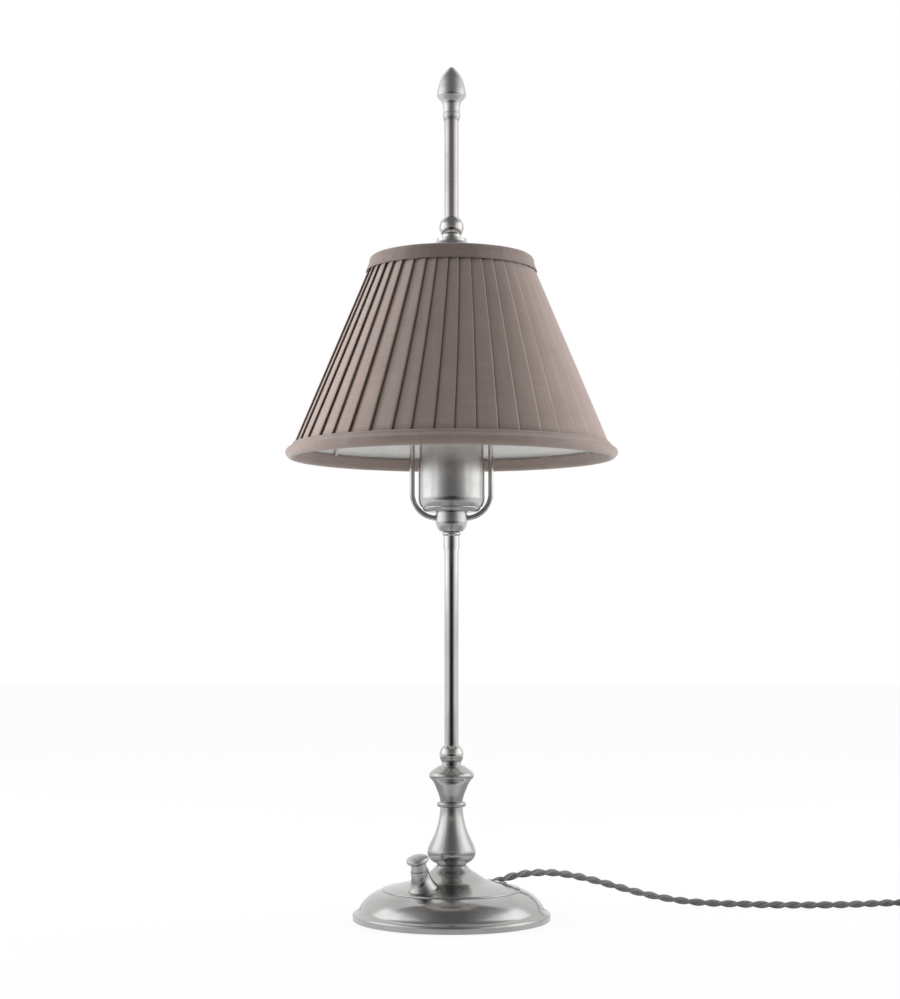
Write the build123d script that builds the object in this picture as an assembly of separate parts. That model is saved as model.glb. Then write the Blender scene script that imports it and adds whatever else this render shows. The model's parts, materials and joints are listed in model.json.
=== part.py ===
from build123d import *
import math
import os

# Table lamp: weighted dome base with a push switch, turned stem, wire harp and pleated shade.
# The lamp stands on z = 0, its axis is Z and its front faces -Y. All lengths are millimetres.

# Fits
slip = 0.1
turn_gap = 0.2
pivot_clearance = 0.08
moving_clearance = 0.3
cut_overrun = 6.0

# Felt pad and base shell
felt_thickness = 1.5
felt_margin = 0.5
base_wall = 2.0
base_radius = 69.5
base_height = 39.4
rim_lift = 0.5
rim_round = 0.7
lip_height = 6.0
lip_width = 1.9
side_foot_inset = 5.2
side_foot_height = 9.8
shoulder_inset = 21.0
shoulder_height = 22.6
shoulder_step = 1.1
shoulder_step_run = 0.6
shoulder_step_shares = (0.78, 0.42)
crown_run = 20.5
crown_height = 27.4
neck_radius = 11.0
neck_edge = 0.7
lip_bulge_share = 0.71
cove_share = 0.42
side_bulge_shares = (0.658, 0.477)
neck_flare_shares = (0.39, 0.52)
neck_lean_share = 0.6
side_wall_shares = (0.71, 0.71)
shoulder_wall_shares = (0.34, 0.94)
crown_wall_shares = (0.32, 0.95)
neck_wall_shares = (0.66, 0.75)

# Weight and the fastening under the base
weight_margin = 4.3
weight_height = 10.0
nut_recess_radius = 14.0
nut_recess_depth = 8.0
washer_radius = 12.0
washer_thickness = 1.2
base_nut_flats = 17.0
base_nut_height = 5.0
tube_tail = 0.5
wire_channel_width = 8.0
wire_channel_depth = 5.0

# Stem tube, baluster and ball
tube_radius = 5.0
tube_bore_radius = 4.0
baluster_height = 69.6
belly_radius = 16.9
waist_radius = 7.8
foot_groove_radius = 9.8
bead_radius = 10.3
flare_radius = 15.9
collar_radius = 6.9
belly_foot_shares = [(0.40, 0.02), (0.80, 0.055), (1.00, 0.115), (0.80, 0.215)]
belly_shares = belly_foot_shares + [(0.40, 0.33), (0.12, 0.46), (0.02, 0.575)]
bead_low_share = 0.585
bead_high_share = 0.633
flare_shares = [(0.02, 0.645), (0.10, 0.69), (0.38, 0.775), (0.62, 0.835), (0.93, 0.875)]
flare_edge_shares = [(1.00, 0.898), (0.86, 0.935)]
cap_step_shares = [(0.76, 0.948), (0.46, 0.976), (0.22, 0.997)]
lower_ball_radius = 8.5
ball_neck_radius = 6.9
ball_neck_height = 2.6
ball_top_margin = 0.4
stem_clear_length = 137.6

# Ferrule and harp hub
ferrule_radius = 5.7
ferrule_height = 9.5
ferrule_bead_radius = 6.6
ferrule_bead_height = 3.3
hub_radius = 11.5
hub_cup_radius = 11.1
hub_foot_radius = 8.2
hub_cup_height = 6.4
hub_barrel_height = 5.8
hub_bulge_shares = (0.66, 0.45)

# Harp of bent wire
harp_wire_radius = 1.8
harp_half_width = 27.6
harp_height = 179.0
harp_bend_radius = 17.6
harp_end_radius = 6.4

# Lampholder
holder_neck_radius = 11.3
holder_neck_height = 1.4
holder_radius = 23.4
holder_cup_height = 34.8
holder_floor_radius = 16.5
holder_bevel_radius = 20.6
holder_bevel_height = 2.5
holder_groove_depth = 0.5
holder_groove_height = 0.7
holder_round_radius = 21.2
holder_round_height = 9.8
holder_round_shares = (0.72, 0.45)
holder_bevel_shares = (0.70, 0.40)
holder_wall = 1.2
holder_floor = 2.8
tube_entry = 3.0
skirt_radius = 22.7
skirt_wall = 0.8
skirt_height = 30.0
insert_clearance = 0.5
insert_height = 47.0
socket_depth = 32.0
screw_radius = 13.6
screw_wall = 0.6
screw_height = 24.0
contact_radius = 4.0
contact_thickness = 1.8

# Bulb
bulb_cap_radius = 13.2
bulb_cap_height = 23.0
bulb_tip_radius = 4.6
bulb_tip_height = 2.6
bulb_length = 75.0
bulb_radius = 22.5
bulb_neck_radius = 12.6
bulb_wall = 0.8

# Yoke that closes the harp and carries the shade
yoke_radius = 10.0
yoke_height = 9.0
yoke_neck_radius = 7.5
yoke_neck_height = 4.5
yoke_floor_share = 0.7
stud_radius = 5.0
stud_length = 15.5

# Shade frame
spider_plate_radius = 15.0
spider_plate_thickness = 1.5
spider_arm_inset = 1.2
spider_drop = 10.0
shade_wire_radius = 1.3
strut_radius = 1.1
strut_count = 6
strut_azimuth = 82.5
spider_arm_count = 3

# Shade cloth
shade_height = 134.4
shade_ring_radius = 52.9
shade_slope = 0.4235
pleat_count = 48
pleat_step = 0.8
pleat_turn_share = 0.94
facets_per_pleat = 3
cover_cloth = 0.6
lining_cloth = 0.5
cloth_gap = 0.1
trim_cloth = 0.6
trim_roll = 3.0
hem_outer_height = 6.2
hem_inner_height = 7.0
band_outer_height = 8.6
band_inner_height = 5.0
cover_tuck = 4.0
lining_tuck = 1.0

# Fitter cap, washer and clamping finial
fitter_radius = 13.0
fitter_height = 4.1
fitter_wall = 1.0
fitter_bulge_shares = (0.45, 0.62)
fitter_washer_radius = 10.6
fitter_washer_thickness = 2.1
upper_ball_radius = 8.7
upper_neck_height = 2.6
upper_rod_length = 68.6
rod_socket_depth = 4.0
acorn_collar_radius = 6.1
acorn_rim_radius = 10.4
acorn_rod_depth = 8.0
acorn_height = 37.6
acorn_foot_shares = [(0.90, 0.00), (1.00, 0.05), (1.00, 0.11), (0.95, 0.15), (0.97, 0.24), (1.02, 0.29)]
acorn_cup_shares = [(0.08, 0.31), (0.40, 0.37), (0.85, 0.43), (1.00, 0.48)]
acorn_nut_shares = [(0.95, 0.56), (0.87, 0.65), (0.68, 0.80), (0.40, 0.91), (0.17, 0.98)]

# Push switch in the base
switch_azimuth = 236.0
switch_inset = 13.5
switch_tilt = 18.0
bezel_foot_radius = 10.2
bezel_foot_edge = 1.1
bezel_height = 14.1
bezel_collar_radius = 6.3
bezel_throat_shares = (0.34, 0.43)
bezel_collar_share = 0.82
bezel_groove_shares = (0.86, 0.91)
bezel_groove_depth = 0.25
bezel_bore_radius = 5.6
button_neck_radius = 5.3
button_neck_height = 5.1
button_cap_radius = 7.7
button_cap_height = 6.0
button_edge_shares = [(0.80, 0.08), (1.00, 0.42), (0.93, 0.66)]
button_travel = 3.2
button_engagement = 4.0
button_pin_radius = 2.0
button_pin_length = 13.0
switch_bush_radius = 5.4
switch_bush_top = 4.0
switch_nut_flats = 15.0
switch_nut_height = 2.5
switch_nut_gap = 1.0
switch_can_radius = 8.0
switch_can_height = 13.0
switch_pocket_margin = 1.5
spring_radius = 3.4
spring_wire_radius = 0.3
spring_turns = 3

# Cord bush in the base
gland_azimuth = 24.0
gland_radius = 35.0
gland_heading = 30.0
gland_lean = 74.0
gland_wall = 0.7
gland_inner_length = 8.0
gland_outer_length = 16.0
gland_rim = 0.7

# Wires inside the lamp
wire_radius = 1.5
wire_offset = 1.75
base_lead_radius = 1.6
base_lead_route = [(24.9, 10.1, 22.6), (17.0, 3.0, 20.5), (6.0, -14.0, 17.5)]
base_lead_end = (4.3, -7.7, -12.3)

# Mains cord: route of the free stretch, then the put-away coil with its tie and plug
cord_radius = 2.7
cord_clearance = 0.3
cord_route = [
    (27.0, 11.3, 24.1),
    (40.3, 19.0, 28.5),
    (55.0, 27.0, 30.3),
    (73.0, 36.5, 29.6),
    (92.0, 45.5, 25.6),
    (112.0, 53.5, 19.6),
    (133.0, 60.0, 12.9),
    (154.0, 65.0, 7.4),
    (176.0, 67.5, 3.9),
    (199.0, 66.5, 2.8),
    (222.0, 62.5, 2.75),
    (245.0, 59.3, 2.75),
    (269.0, 58.3, 2.9),
    (294.0, 59.5, 3.2),
    (319.0, 64.4, 3.6),
    (343.0, 67.4, 3.9),
    (366.0, 67.4, 3.9),
]
bend_share = 0.45
coil_reverse_radius = 21.8
coil_turn_gap = 0.5
coil_reverse_turn = 3.5
coil_end_turn = 7.25
coil_steps_per_turn = 4
climb_turns = 0.5
sample_spacing = 2.0
tie_thickness = 0.9
tie_width = 12.0
tie_azimuth = 225.0
plug_relief_length = 38.0
plug_relief_radius = 3.2
plug_relief_root_radius = 6.5
plug_width = 36.0
plug_length = 40.0
plug_corner = 6.0
plug_edge = 2.5
pin_radius = 2.0
pin_length = 19.0
pin_seat = 8.0
pin_spacing = 19.0

# Radii of the base that follow its outer radius
side_foot_radius = base_radius - side_foot_inset
shoulder_radius = base_radius - shoulder_inset
crown_radius = shoulder_radius - crown_run
switch_radius = shoulder_radius - switch_inset
weight_radius = side_foot_radius - base_wall - weight_margin

# Heights of the stack, from the table up
weight_low = felt_thickness
nut_recess_top = weight_low + nut_recess_depth
base_nut_top = nut_recess_top - washer_thickness
tube_bottom = base_nut_top - base_nut_height - tube_tail
baluster_top = base_height + baluster_height
lower_ball_center = baluster_top + ball_neck_height + math.sqrt(lower_ball_radius**2 - ball_neck_radius**2)
lower_ball_top = lower_ball_center + math.sqrt(lower_ball_radius**2 - (tube_radius + ball_top_margin)**2)
ferrule_low = lower_ball_top + stem_clear_length
hub_low = ferrule_low + ferrule_height + ferrule_bead_height
hub_top = hub_low + hub_cup_height + hub_barrel_height
harp_low = hub_top - hub_barrel_height / 2
holder_low = hub_top + holder_neck_height
holder_joint = holder_low + holder_cup_height
skirt_top = holder_joint + skirt_height
tube_top = holder_low + holder_floor + tube_entry
insert_low = tube_top + slip
insert_top = insert_low + insert_height
socket_floor = insert_top - socket_depth
bulb_low = socket_floor + contact_thickness + moving_clearance
bulb_seat = bulb_low + bulb_tip_height + bulb_cap_height
bulb_center = bulb_low + bulb_length - bulb_radius
harp_high = harp_low + harp_height
yoke_low = harp_high - yoke_height / 2
yoke_shoulder = yoke_low + yoke_height + yoke_neck_height
spider_low = yoke_shoulder + turn_gap
fitter_low = spider_low + spider_plate_thickness + turn_gap
fitter_top = fitter_low + fitter_height
washer_top = fitter_top + fitter_washer_thickness
ball_nut_low = washer_top + turn_gap
upper_ball_center = ball_nut_low + upper_neck_height + math.sqrt(upper_ball_radius**2 - ball_neck_radius**2)
upper_ball_top = upper_ball_center + math.sqrt(upper_ball_radius**2 - (tube_radius + ball_top_margin)**2)
acorn_low = upper_ball_top + upper_rod_length
shade_ring_top = spider_low + spider_plate_thickness / 2 - spider_drop
shade_ring_low = shade_ring_top - shade_height


def at(radius, height):
    """Point of a turned outline."""
    return Vector(radius, 0, height)


def swell(shares, inner, outer, low, height):
    """Outline points whose radii lie between two radii and whose heights lie above a level."""
    return [at(inner + r * (outer - inner), low + z * height) for r, z in shares]


def turned(*outline):
    """Solid turned about the Z axis from the edges of a closed outline."""
    edges = []
    for piece in outline:
        edges.extend(piece.edges())
    return revolve(make_face(edges), Axis.Z)


def disc(radius, low, high, bore=0):
    """Round plate or sleeve on the Z axis between two heights."""
    return turned(Polyline(at(bore, low), at(radius, low), at(radius, high), at(bore, high), close=True))


def rod(start, end, radius):
    """Round bar between two points."""
    path = Line(start, end)
    return sweep(Plane(origin=start, z_dir=path % 0) * Circle(radius), path=path)


def hexagon(flats, low, high, bore):
    """Hexagon nut on the Z axis between two heights."""
    face = RegularPolygon(flats / 2, 6, major_radius=False) - Circle(bore)
    return Pos(0, 0, low) * extrude(face, high - low)


def around(radius, azimuth, height):
    """Point at an azimuth, in degrees from +X, about the lamp's axis."""
    turn = math.radians(azimuth)
    return Vector(radius * math.cos(turn), radius * math.sin(turn), height)


# Base shell


def dome_curve(inset):
    """Edges of the base from the foot of its side up to the neck, moved in by a wall."""
    foot = at(side_foot_radius - inset, side_foot_height)
    bulge_radius = shoulder_radius + side_bulge_shares[0] * (side_foot_radius - shoulder_radius)
    bulge_height = shoulder_height - side_bulge_shares[1] * (shoulder_height - side_foot_height)
    bulge = at(bulge_radius - side_wall_shares[0] * inset, bulge_height - side_wall_shares[1] * inset)
    shoulder = at(
        shoulder_radius - shoulder_wall_shares[0] * inset,
        shoulder_height - shoulder_wall_shares[1] * inset,
    )
    brow = shoulder + at(shoulder_step_run, -shoulder_step)
    brow_mid = shoulder + at(
        shoulder_step_shares[0] * shoulder_step_run, -shoulder_step_shares[1] * shoulder_step
    )
    crown = at(crown_radius - crown_wall_shares[0] * inset, crown_height - crown_wall_shares[1] * inset)
    flare_radius_here = neck_radius + neck_flare_shares[0] * (crown_radius - neck_radius)
    flare_height = base_height - neck_flare_shares[1] * (base_height - crown_height)
    flare = at(flare_radius_here - neck_wall_shares[0] * inset, flare_height - neck_wall_shares[1] * inset)
    neck = at(neck_radius - inset, base_height - neck_edge - inset)
    slope = (crown - shoulder).normalized()
    lean = Vector(-neck_lean_share, 0, 1).normalized()
    side = ThreePointArc(foot, bulge, brow)
    step = ThreePointArc(brow, brow_mid, shoulder)
    return [side, step, Line(shoulder, crown), Spline(crown, flare, neck, tangents=[slope, lean])]


def crown_point(radius, azimuth):
    """Point on the sloping crown of the base."""
    slope = (crown_height - shoulder_height) / (shoulder_radius - crown_radius)
    return around(radius, azimuth, crown_height - slope * (radius - crown_radius))


def outward(azimuth, tilt):
    """Direction that leans from +Z by a tilt towards an azimuth."""
    lean = math.radians(tilt)
    return around(math.sin(lean), azimuth, math.cos(lean))


switch_plane = Plane(
    origin=crown_point(switch_radius, switch_azimuth),
    z_dir=outward(switch_azimuth, switch_tilt),
)
gland_axis = outward(gland_heading, gland_lean)
gland_plane = Plane(origin=crown_point(gland_radius, gland_azimuth), z_dir=gland_axis)
crown_tilt = math.degrees(math.atan2(crown_height - shoulder_height, shoulder_radius - crown_radius))
gland_face = Plane(
    origin=crown_point(gland_radius, gland_azimuth) + outward(gland_azimuth, crown_tilt) * gland_rim,
    z_dir=outward(gland_azimuth, crown_tilt),
)
gland_bore_radius = cord_radius + cord_clearance
gland_outer_radius = gland_bore_radius + gland_wall


def base_shell():
    """Spun dome with a beaded lip, open underneath, with holes for stem, switch and cord bush."""
    lip_top = at(base_radius - lip_width, lip_height)
    lip_side = at(base_radius, lip_height - lip_width)
    lip_inset = lip_width * (1 - lip_bulge_share)
    lip_mid = at(base_radius - lip_inset, lip_height - lip_inset)
    foot = at(side_foot_radius, side_foot_height)
    cove = lip_top + (foot - lip_top) * cove_share + at(-lip_width, -lip_width) * (cove_share / 2)
    bottom = Polyline(
        at(0, base_height),
        at(0, rim_lift),
        at(base_radius - rim_round, rim_lift),
        at(base_radius, rim_lift + rim_round),
        lip_side,
    )
    lip = ThreePointArc(lip_side, lip_mid, lip_top)
    cove_arc = ThreePointArc(lip_top, cove, foot)
    neck = at(neck_radius, base_height - neck_edge)
    top = Polyline(neck, at(neck_radius - neck_edge, base_height), at(0, base_height))
    shell = turned(bottom, lip, cove_arc, *dome_curve(0), top)

    inner_lip = base_radius - base_wall
    inner_neck = neck_radius - base_wall
    inside = Polyline(
        at(inner_neck, base_height - neck_edge - base_wall),
        at(0, base_height - neck_edge - base_wall),
        at(0, -cut_overrun),
        at(inner_lip, -cut_overrun),
        at(inner_lip, lip_height - base_wall),
        at(side_foot_radius - base_wall, side_foot_height),
    )
    shell -= turned(inside, *dome_curve(base_wall))
    shell -= disc(tube_radius + slip, 0, base_height + cut_overrun)
    shell -= switch_plane * disc(switch_bush_radius + slip, -base_height / 2, cut_overrun)
    shell -= switch_plane * disc(bezel_foot_radius + slip, 0, cut_overrun)
    shell -= gland_plane * disc(gland_outer_radius + slip, -gland_inner_length - slip, gland_outer_length)
    return shell


def felt_pad():
    """Felt disc inside the lip, whose lower face stands on the table."""
    return disc(base_radius - base_wall - felt_margin, 0, felt_thickness)


def base_weight():
    """Cast ring with a tall boss, a nut recess, a pocket for the switch and a wire channel."""
    boss_radius = neck_radius - base_wall - felt_margin
    boss_top = base_height - neck_edge - base_wall
    weight = disc(weight_radius, weight_low, weight_low + weight_height)
    weight += disc(boss_radius, weight_low, boss_top)
    weight -= disc(tube_radius + slip, -cut_overrun, base_height)
    weight -= disc(nut_recess_radius, -cut_overrun, nut_recess_top)
    pocket = switch_can_radius + switch_pocket_margin
    weight -= switch_plane * disc(pocket, -base_height, 0)
    from_axis = (Align.MIN, Align.CENTER, Align.MIN)
    channel = Box(switch_radius, wire_channel_width, wire_channel_depth, align=from_axis)
    weight -= Rot(0, 0, switch_azimuth) * Pos(0, 0, weight_low) * channel
    return weight


# Turned stem


def baluster():
    """Turned vase with a belly, a bead and a flared top, bored for the stem tube."""
    bore = tube_radius + slip
    belly = swell(belly_shares, waist_radius, belly_radius, base_height, baluster_height)
    flare = swell(flare_shares, waist_radius, flare_radius, base_height, baluster_height)
    edge = swell(flare_edge_shares, waist_radius, flare_radius, base_height, baluster_height)
    step = swell(cap_step_shares, collar_radius, flare_radius, base_height, baluster_height)
    bead_low = at(waist_radius, base_height + bead_low_share * baluster_height)
    bead_high = at(waist_radius, base_height + bead_high_share * baluster_height)
    bead_mid = at(bead_radius, (bead_low.Z + bead_high.Z) / 2)
    foot = Polyline(at(bore, base_height), at(foot_groove_radius, base_height), belly[0])
    rim = ThreePointArc(flare[-1], edge[0], edge[1])
    top = Polyline(step[-1], at(collar_radius, baluster_top), at(bore, baluster_top), at(bore, base_height))
    return turned(
        foot,
        Spline(*belly),
        Line(belly[-1], bead_low),
        ThreePointArc(bead_low, bead_mid, bead_high),
        Line(bead_high, flare[0]),
        Spline(*flare),
        rim,
        Line(edge[1], step[0]),
        ThreePointArc(*step),
        top,
    )


def ball(low, neck_height, center, radius, top, bore):
    """Ball with a short neck below it, flat on top round a bar, bored through."""
    neck_top = low + neck_height
    neck = Polyline(at(bore, top), at(bore, low), at(ball_neck_radius, low), at(ball_neck_radius, neck_top))
    rim_radius = math.sqrt(radius**2 - (top - center) ** 2)
    globe = ThreePointArc(at(ball_neck_radius, neck_top), at(radius, center), at(rim_radius, top))
    return turned(neck, globe, Line(at(rim_radius, top), at(bore, top)))


def stem_ferrule():
    """Sleeve under the hub, with a bead at its upper end."""
    bore = tube_radius + slip
    bead_low = ferrule_low + ferrule_height
    bead_mid = at(ferrule_bead_radius, bead_low + ferrule_bead_height / 2)
    foot = at(ferrule_radius, ferrule_low)
    return turned(
        Polyline(at(bore, hub_low), at(bore, ferrule_low), foot, at(ferrule_radius, bead_low)),
        ThreePointArc(at(ferrule_radius, bead_low), bead_mid, at(ferrule_radius, hub_low)),
        Line(at(ferrule_radius, hub_low), at(bore, hub_low)),
    )


def harp_hub():
    """Cup and barrel with two cross holes for the harp's feet."""
    bore = tube_radius + slip
    cup_top = hub_low + hub_cup_height
    bulge = swell([hub_bulge_shares], hub_foot_radius, hub_cup_radius, hub_low, hub_cup_height)[0]
    hub = turned(
        Polyline(at(bore, hub_top), at(bore, hub_low), at(hub_foot_radius, hub_low)),
        ThreePointArc(at(hub_foot_radius, hub_low), bulge, at(hub_cup_radius, cup_top)),
        Polyline(at(hub_cup_radius, cup_top), at(hub_radius, cup_top), at(hub_radius, hub_top)),
        Line(at(hub_radius, hub_top), at(bore, hub_top)),
    )
    return hub - harp_holes(harp_low, hub_radius)


def harp_holes(height, radius):
    """Two cross holes that take the ends of the harp's arms."""
    holes = []
    for side in (-1, 1):
        start = Vector(side * (harp_end_radius - slip), 0, height)
        end = Vector(side * (radius + cut_overrun), 0, height)
        holes.append(rod(start, end, harp_wire_radius + slip))
    return holes


def harp_arm(side):
    """One arm of bent wire from the hub up to the yoke."""
    corners = [(harp_end_radius, harp_low), (harp_half_width, harp_low)]
    corners += [(harp_half_width, harp_high), (harp_end_radius, harp_high)]
    path = FilletPolyline(*[Vector(side * x, 0, z) for x, z in corners], radius=harp_bend_radius)
    return sweep(Plane(origin=path @ 0, z_dir=path % 0) * Circle(harp_wire_radius), path=path)


# Lampholder and bulb


def holder_cap():
    """Lower cup of the lampholder, with a grooved and rounded bottom edge."""
    bore = tube_radius + slip
    bevel = at(holder_bevel_radius, holder_low + holder_bevel_height)
    groove_top = bevel.Z + holder_groove_height
    round_low = at(holder_round_radius, groove_top)
    round_top = at(holder_radius, holder_low + holder_round_height)
    round_mid = swell(
        [holder_round_shares], holder_round_radius, holder_radius, round_low.Z, round_top.Z - round_low.Z
    )[0]
    bevel_mid = swell(
        [holder_bevel_shares], holder_floor_radius, bevel.X, holder_low, holder_bevel_height
    )[0]
    groove_radius = bevel.X - holder_groove_depth
    inner = holder_radius - holder_wall
    floor = holder_low + holder_floor
    return turned(
        Polyline(at(bore, hub_top), at(holder_neck_radius, hub_top), at(holder_neck_radius, holder_low)),
        Line(at(holder_neck_radius, holder_low), at(holder_floor_radius, holder_low)),
        ThreePointArc(at(holder_floor_radius, holder_low), bevel_mid, bevel),
        Polyline(bevel, at(groove_radius, bevel.Z), at(groove_radius, groove_top), round_low),
        ThreePointArc(round_low, round_mid, round_top),
        Polyline(round_top, at(holder_radius, holder_joint), at(inner, holder_joint), at(inner, round_top.Z)),
        Polyline(at(inner, round_top.Z), at(holder_floor_radius, floor), at(bore, floor), at(bore, hub_top)),
    )


def holder_insert():
    """Porcelain body with the socket's hollow, narrowed below to clear the cup's rounded floor."""
    radius = skirt_radius - skirt_wall - insert_clearance
    shelf = holder_low + holder_round_height
    hollow = screw_radius + screw_wall + slip
    return turned(
        Polyline(
            at(0, insert_low),
            at(holder_floor_radius - insert_clearance, insert_low),
            at(radius, shelf),
            at(radius, insert_top),
            at(hollow, insert_top),
            at(hollow, socket_floor),
            at(0, socket_floor),
            close=True,
        )
    )


def bulb_glass():
    """Round glass envelope with a short neck, open where it joins its cap."""
    drop = math.sqrt(bulb_radius**2 - bulb_neck_radius**2)
    inner_radius = bulb_radius - bulb_wall
    inner_neck = bulb_neck_radius - bulb_wall
    inner_drop = math.sqrt(inner_radius**2 - inner_neck**2)
    neck_top = at(bulb_neck_radius, bulb_center - drop)
    tip = at(0, bulb_center + bulb_radius)
    inner_tip = at(0, bulb_center + inner_radius)
    return turned(
        Polyline(at(inner_neck, bulb_seat), at(bulb_neck_radius, bulb_seat), neck_top),
        ThreePointArc(neck_top, at(bulb_radius, bulb_center), tip),
        Line(tip, inner_tip),
        ThreePointArc(inner_tip, at(inner_radius, bulb_center), at(inner_neck, bulb_center - inner_drop)),
        Line(at(inner_neck, bulb_center - inner_drop), at(inner_neck, bulb_seat)),
    )


def bulb_cap():
    """Screw cap of the bulb with its insulated tip."""
    shell_low = bulb_low + bulb_tip_height
    return turned(
        Polyline(
            at(0, bulb_low),
            at(bulb_tip_radius, bulb_low),
            at(bulb_cap_radius, shell_low),
            at(bulb_cap_radius, bulb_seat),
            at(0, bulb_seat),
            close=True,
        )
    )


# Yoke, shade frame and shade cloth


def harp_yoke():
    """Turned block that joins the arms and ends in the stud that carries the shade."""
    neck_low = yoke_low + yoke_height
    yoke = turned(
        Polyline(
            at(0, yoke_low),
            at(yoke_radius * yoke_floor_share, yoke_low),
            at(yoke_radius, yoke_low + yoke_radius * (1 - yoke_floor_share)),
            at(yoke_radius, neck_low),
            at(yoke_neck_radius, neck_low),
            at(yoke_neck_radius, yoke_shoulder),
            at(stud_radius, yoke_shoulder),
            at(stud_radius, yoke_shoulder + stud_length),
            at(0, yoke_shoulder + stud_length),
            close=True,
        )
    )
    return yoke - harp_holes(harp_high, yoke_radius)


shade_angle = math.atan(shade_slope)
wire_depth = pleat_step + cover_cloth + cloth_gap + lining_cloth + cloth_gap + shade_wire_radius


def shade_radius(height, depth):
    """Radius of the shade at a height, a depth inside the pleats' outer folds."""
    fold_at_ring = shade_ring_radius + wire_depth / math.cos(shade_angle)
    return fold_at_ring + shade_slope * (shade_ring_top - height) - depth / math.cos(shade_angle)


def shade_layer(low, high, outer_depth, inner_depth):
    """Conical sheet between two heights and two depths."""
    return turned(
        Polyline(
            at(shade_radius(low, outer_depth), low),
            at(shade_radius(high, outer_depth), high),
            at(shade_radius(high, inner_depth), high),
            at(shade_radius(low, inner_depth), low),
            close=True,
        )
    )


def pleat_outline(height):
    """Saw-edged outline of the pleats at a height, each fold lying over the next one's start."""
    pitch = 360 / pleat_count
    points = []
    for pleat in range(pleat_count):
        points.append(around(shade_radius(height, pleat_step), pleat * pitch, height))
        points.append(around(shade_radius(height, 0), (pleat + pleat_turn_share) * pitch, height))
    return make_face(Polyline(*points, close=True))


def inner_outline(height):
    """Many-sided outline of the pleats' inner face at a height, outside the lining all round."""
    count = pleat_count * facets_per_pleat
    radius = shade_radius(height, pleat_step + cover_cloth) / math.cos(math.pi / count)
    return Pos(0, 0, height) * RegularPolygon(radius, count)


def shade_cover():
    """Pleated cloth cone between the trims, with a plain inner face."""
    low = shade_ring_low + cover_tuck
    high = shade_ring_top - cover_tuck
    cone = loft([pleat_outline(low), pleat_outline(high)], ruled=True)
    return cone - loft([inner_outline(low), inner_outline(high)], ruled=True)


def shade_lining():
    """Plain cloth cone inside the pleats."""
    depth = pleat_step + cover_cloth + cloth_gap
    low = shade_ring_low + lining_tuck
    high = shade_ring_top - lining_tuck
    return shade_layer(low, high, depth, depth + lining_cloth)


def rolled_trim(ring_height, upward, outer_height, inner_height):
    """Folded cloth rolled round a shade ring, with a tall outer wall and a lower inner wall."""
    hollow = trim_roll - trim_cloth
    shift = wire_depth + cloth_gap - hollow
    section = Circle(trim_roll) + Pos(0, upward * outer_height / 2) * Rectangle(2 * trim_roll, outer_height)
    section -= Circle(hollow)
    slot_height = outer_height + trim_roll
    section -= Pos(0, upward * slot_height / 2) * Rectangle(2 * hollow, slot_height)
    inner_cut = Rectangle(2 * trim_roll, outer_height, align=(Align.MAX, Align.CENTER))
    section -= Pos(0, upward * (inner_height + outer_height / 2)) * inner_cut
    plane = Plane(
        origin=at(shade_radius(ring_height, wire_depth), ring_height),
        x_dir=(math.cos(shade_angle), 0, math.sin(shade_angle)),
        z_dir=(0, -1, 0),
    )
    return revolve(plane * Pos(shift, 0) * section, Axis.Z)


def top_band():
    """Trim on the top ring, slit where the spider's arms pass."""
    band = rolled_trim(shade_ring_top, -1, band_outer_height, band_inner_height)
    return band - spider_arms(shade_wire_radius + slip)


def shade_ring(height):
    """Wire ring of the shade's frame."""
    return Pos(0, 0, height) * Torus(shade_radius(height, wire_depth), shade_wire_radius)


def frame_azimuths(count):
    """Azimuths of evenly spaced frame wires."""
    return [strut_azimuth + step * 360 / count for step in range(count)]


def shade_struts():
    """Slanting wires between the two rings."""
    struts = []
    margin = shade_wire_radius + slip
    for azimuth in frame_azimuths(strut_count):
        top = around(shade_radius(shade_ring_top, wire_depth), azimuth, shade_ring_top)
        low = around(shade_radius(shade_ring_low, wire_depth), azimuth, shade_ring_low)
        along = (top - low).normalized()
        struts.append(rod(low + along * margin, top - along * margin, strut_radius))
    return Compound(struts)


def spider_arms(radius):
    """Bars from the centre plate down to the top ring, thick as the wire or as the slits for it."""
    arms = []
    plate_middle = spider_low + spider_plate_thickness / 2
    for azimuth in frame_azimuths(spider_arm_count):
        inner = around(spider_plate_radius - spider_arm_inset, azimuth, plate_middle)
        ring = around(shade_radius(shade_ring_top, wire_depth), azimuth, shade_ring_top)
        along = (ring - inner).normalized()
        arms.append(rod(inner, ring - along * (shade_wire_radius + slip), radius))
    return arms


def shade_spider():
    """Centre plate with three arms that fall to the top ring."""
    plate_top = spider_low + spider_plate_thickness
    plate = disc(spider_plate_radius, spider_low, plate_top, stud_radius + pivot_clearance)
    return plate + spider_arms(shade_wire_radius)


# Clamping finial


def fitter_cap():
    """Domed cap that sits on the shade's centre plate."""
    bore = stud_radius + slip
    inner_radius = fitter_radius - fitter_wall
    inner_top = fitter_top - fitter_wall
    bulge = at(
        fitter_washer_radius + (fitter_radius - fitter_washer_radius) * (1 - fitter_bulge_shares[0] ** 2),
        fitter_low + fitter_height * fitter_bulge_shares[1],
    )
    return turned(
        Polyline(at(inner_radius, fitter_low), at(fitter_radius, fitter_low)),
        ThreePointArc(at(fitter_radius, fitter_low), bulge, at(fitter_washer_radius, fitter_top)),
        Polyline(
            at(fitter_washer_radius, fitter_top),
            at(bore, fitter_top),
            at(bore, inner_top),
            at(fitter_washer_radius - fitter_wall, inner_top),
            at(inner_radius, fitter_low),
        ),
    )


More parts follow.
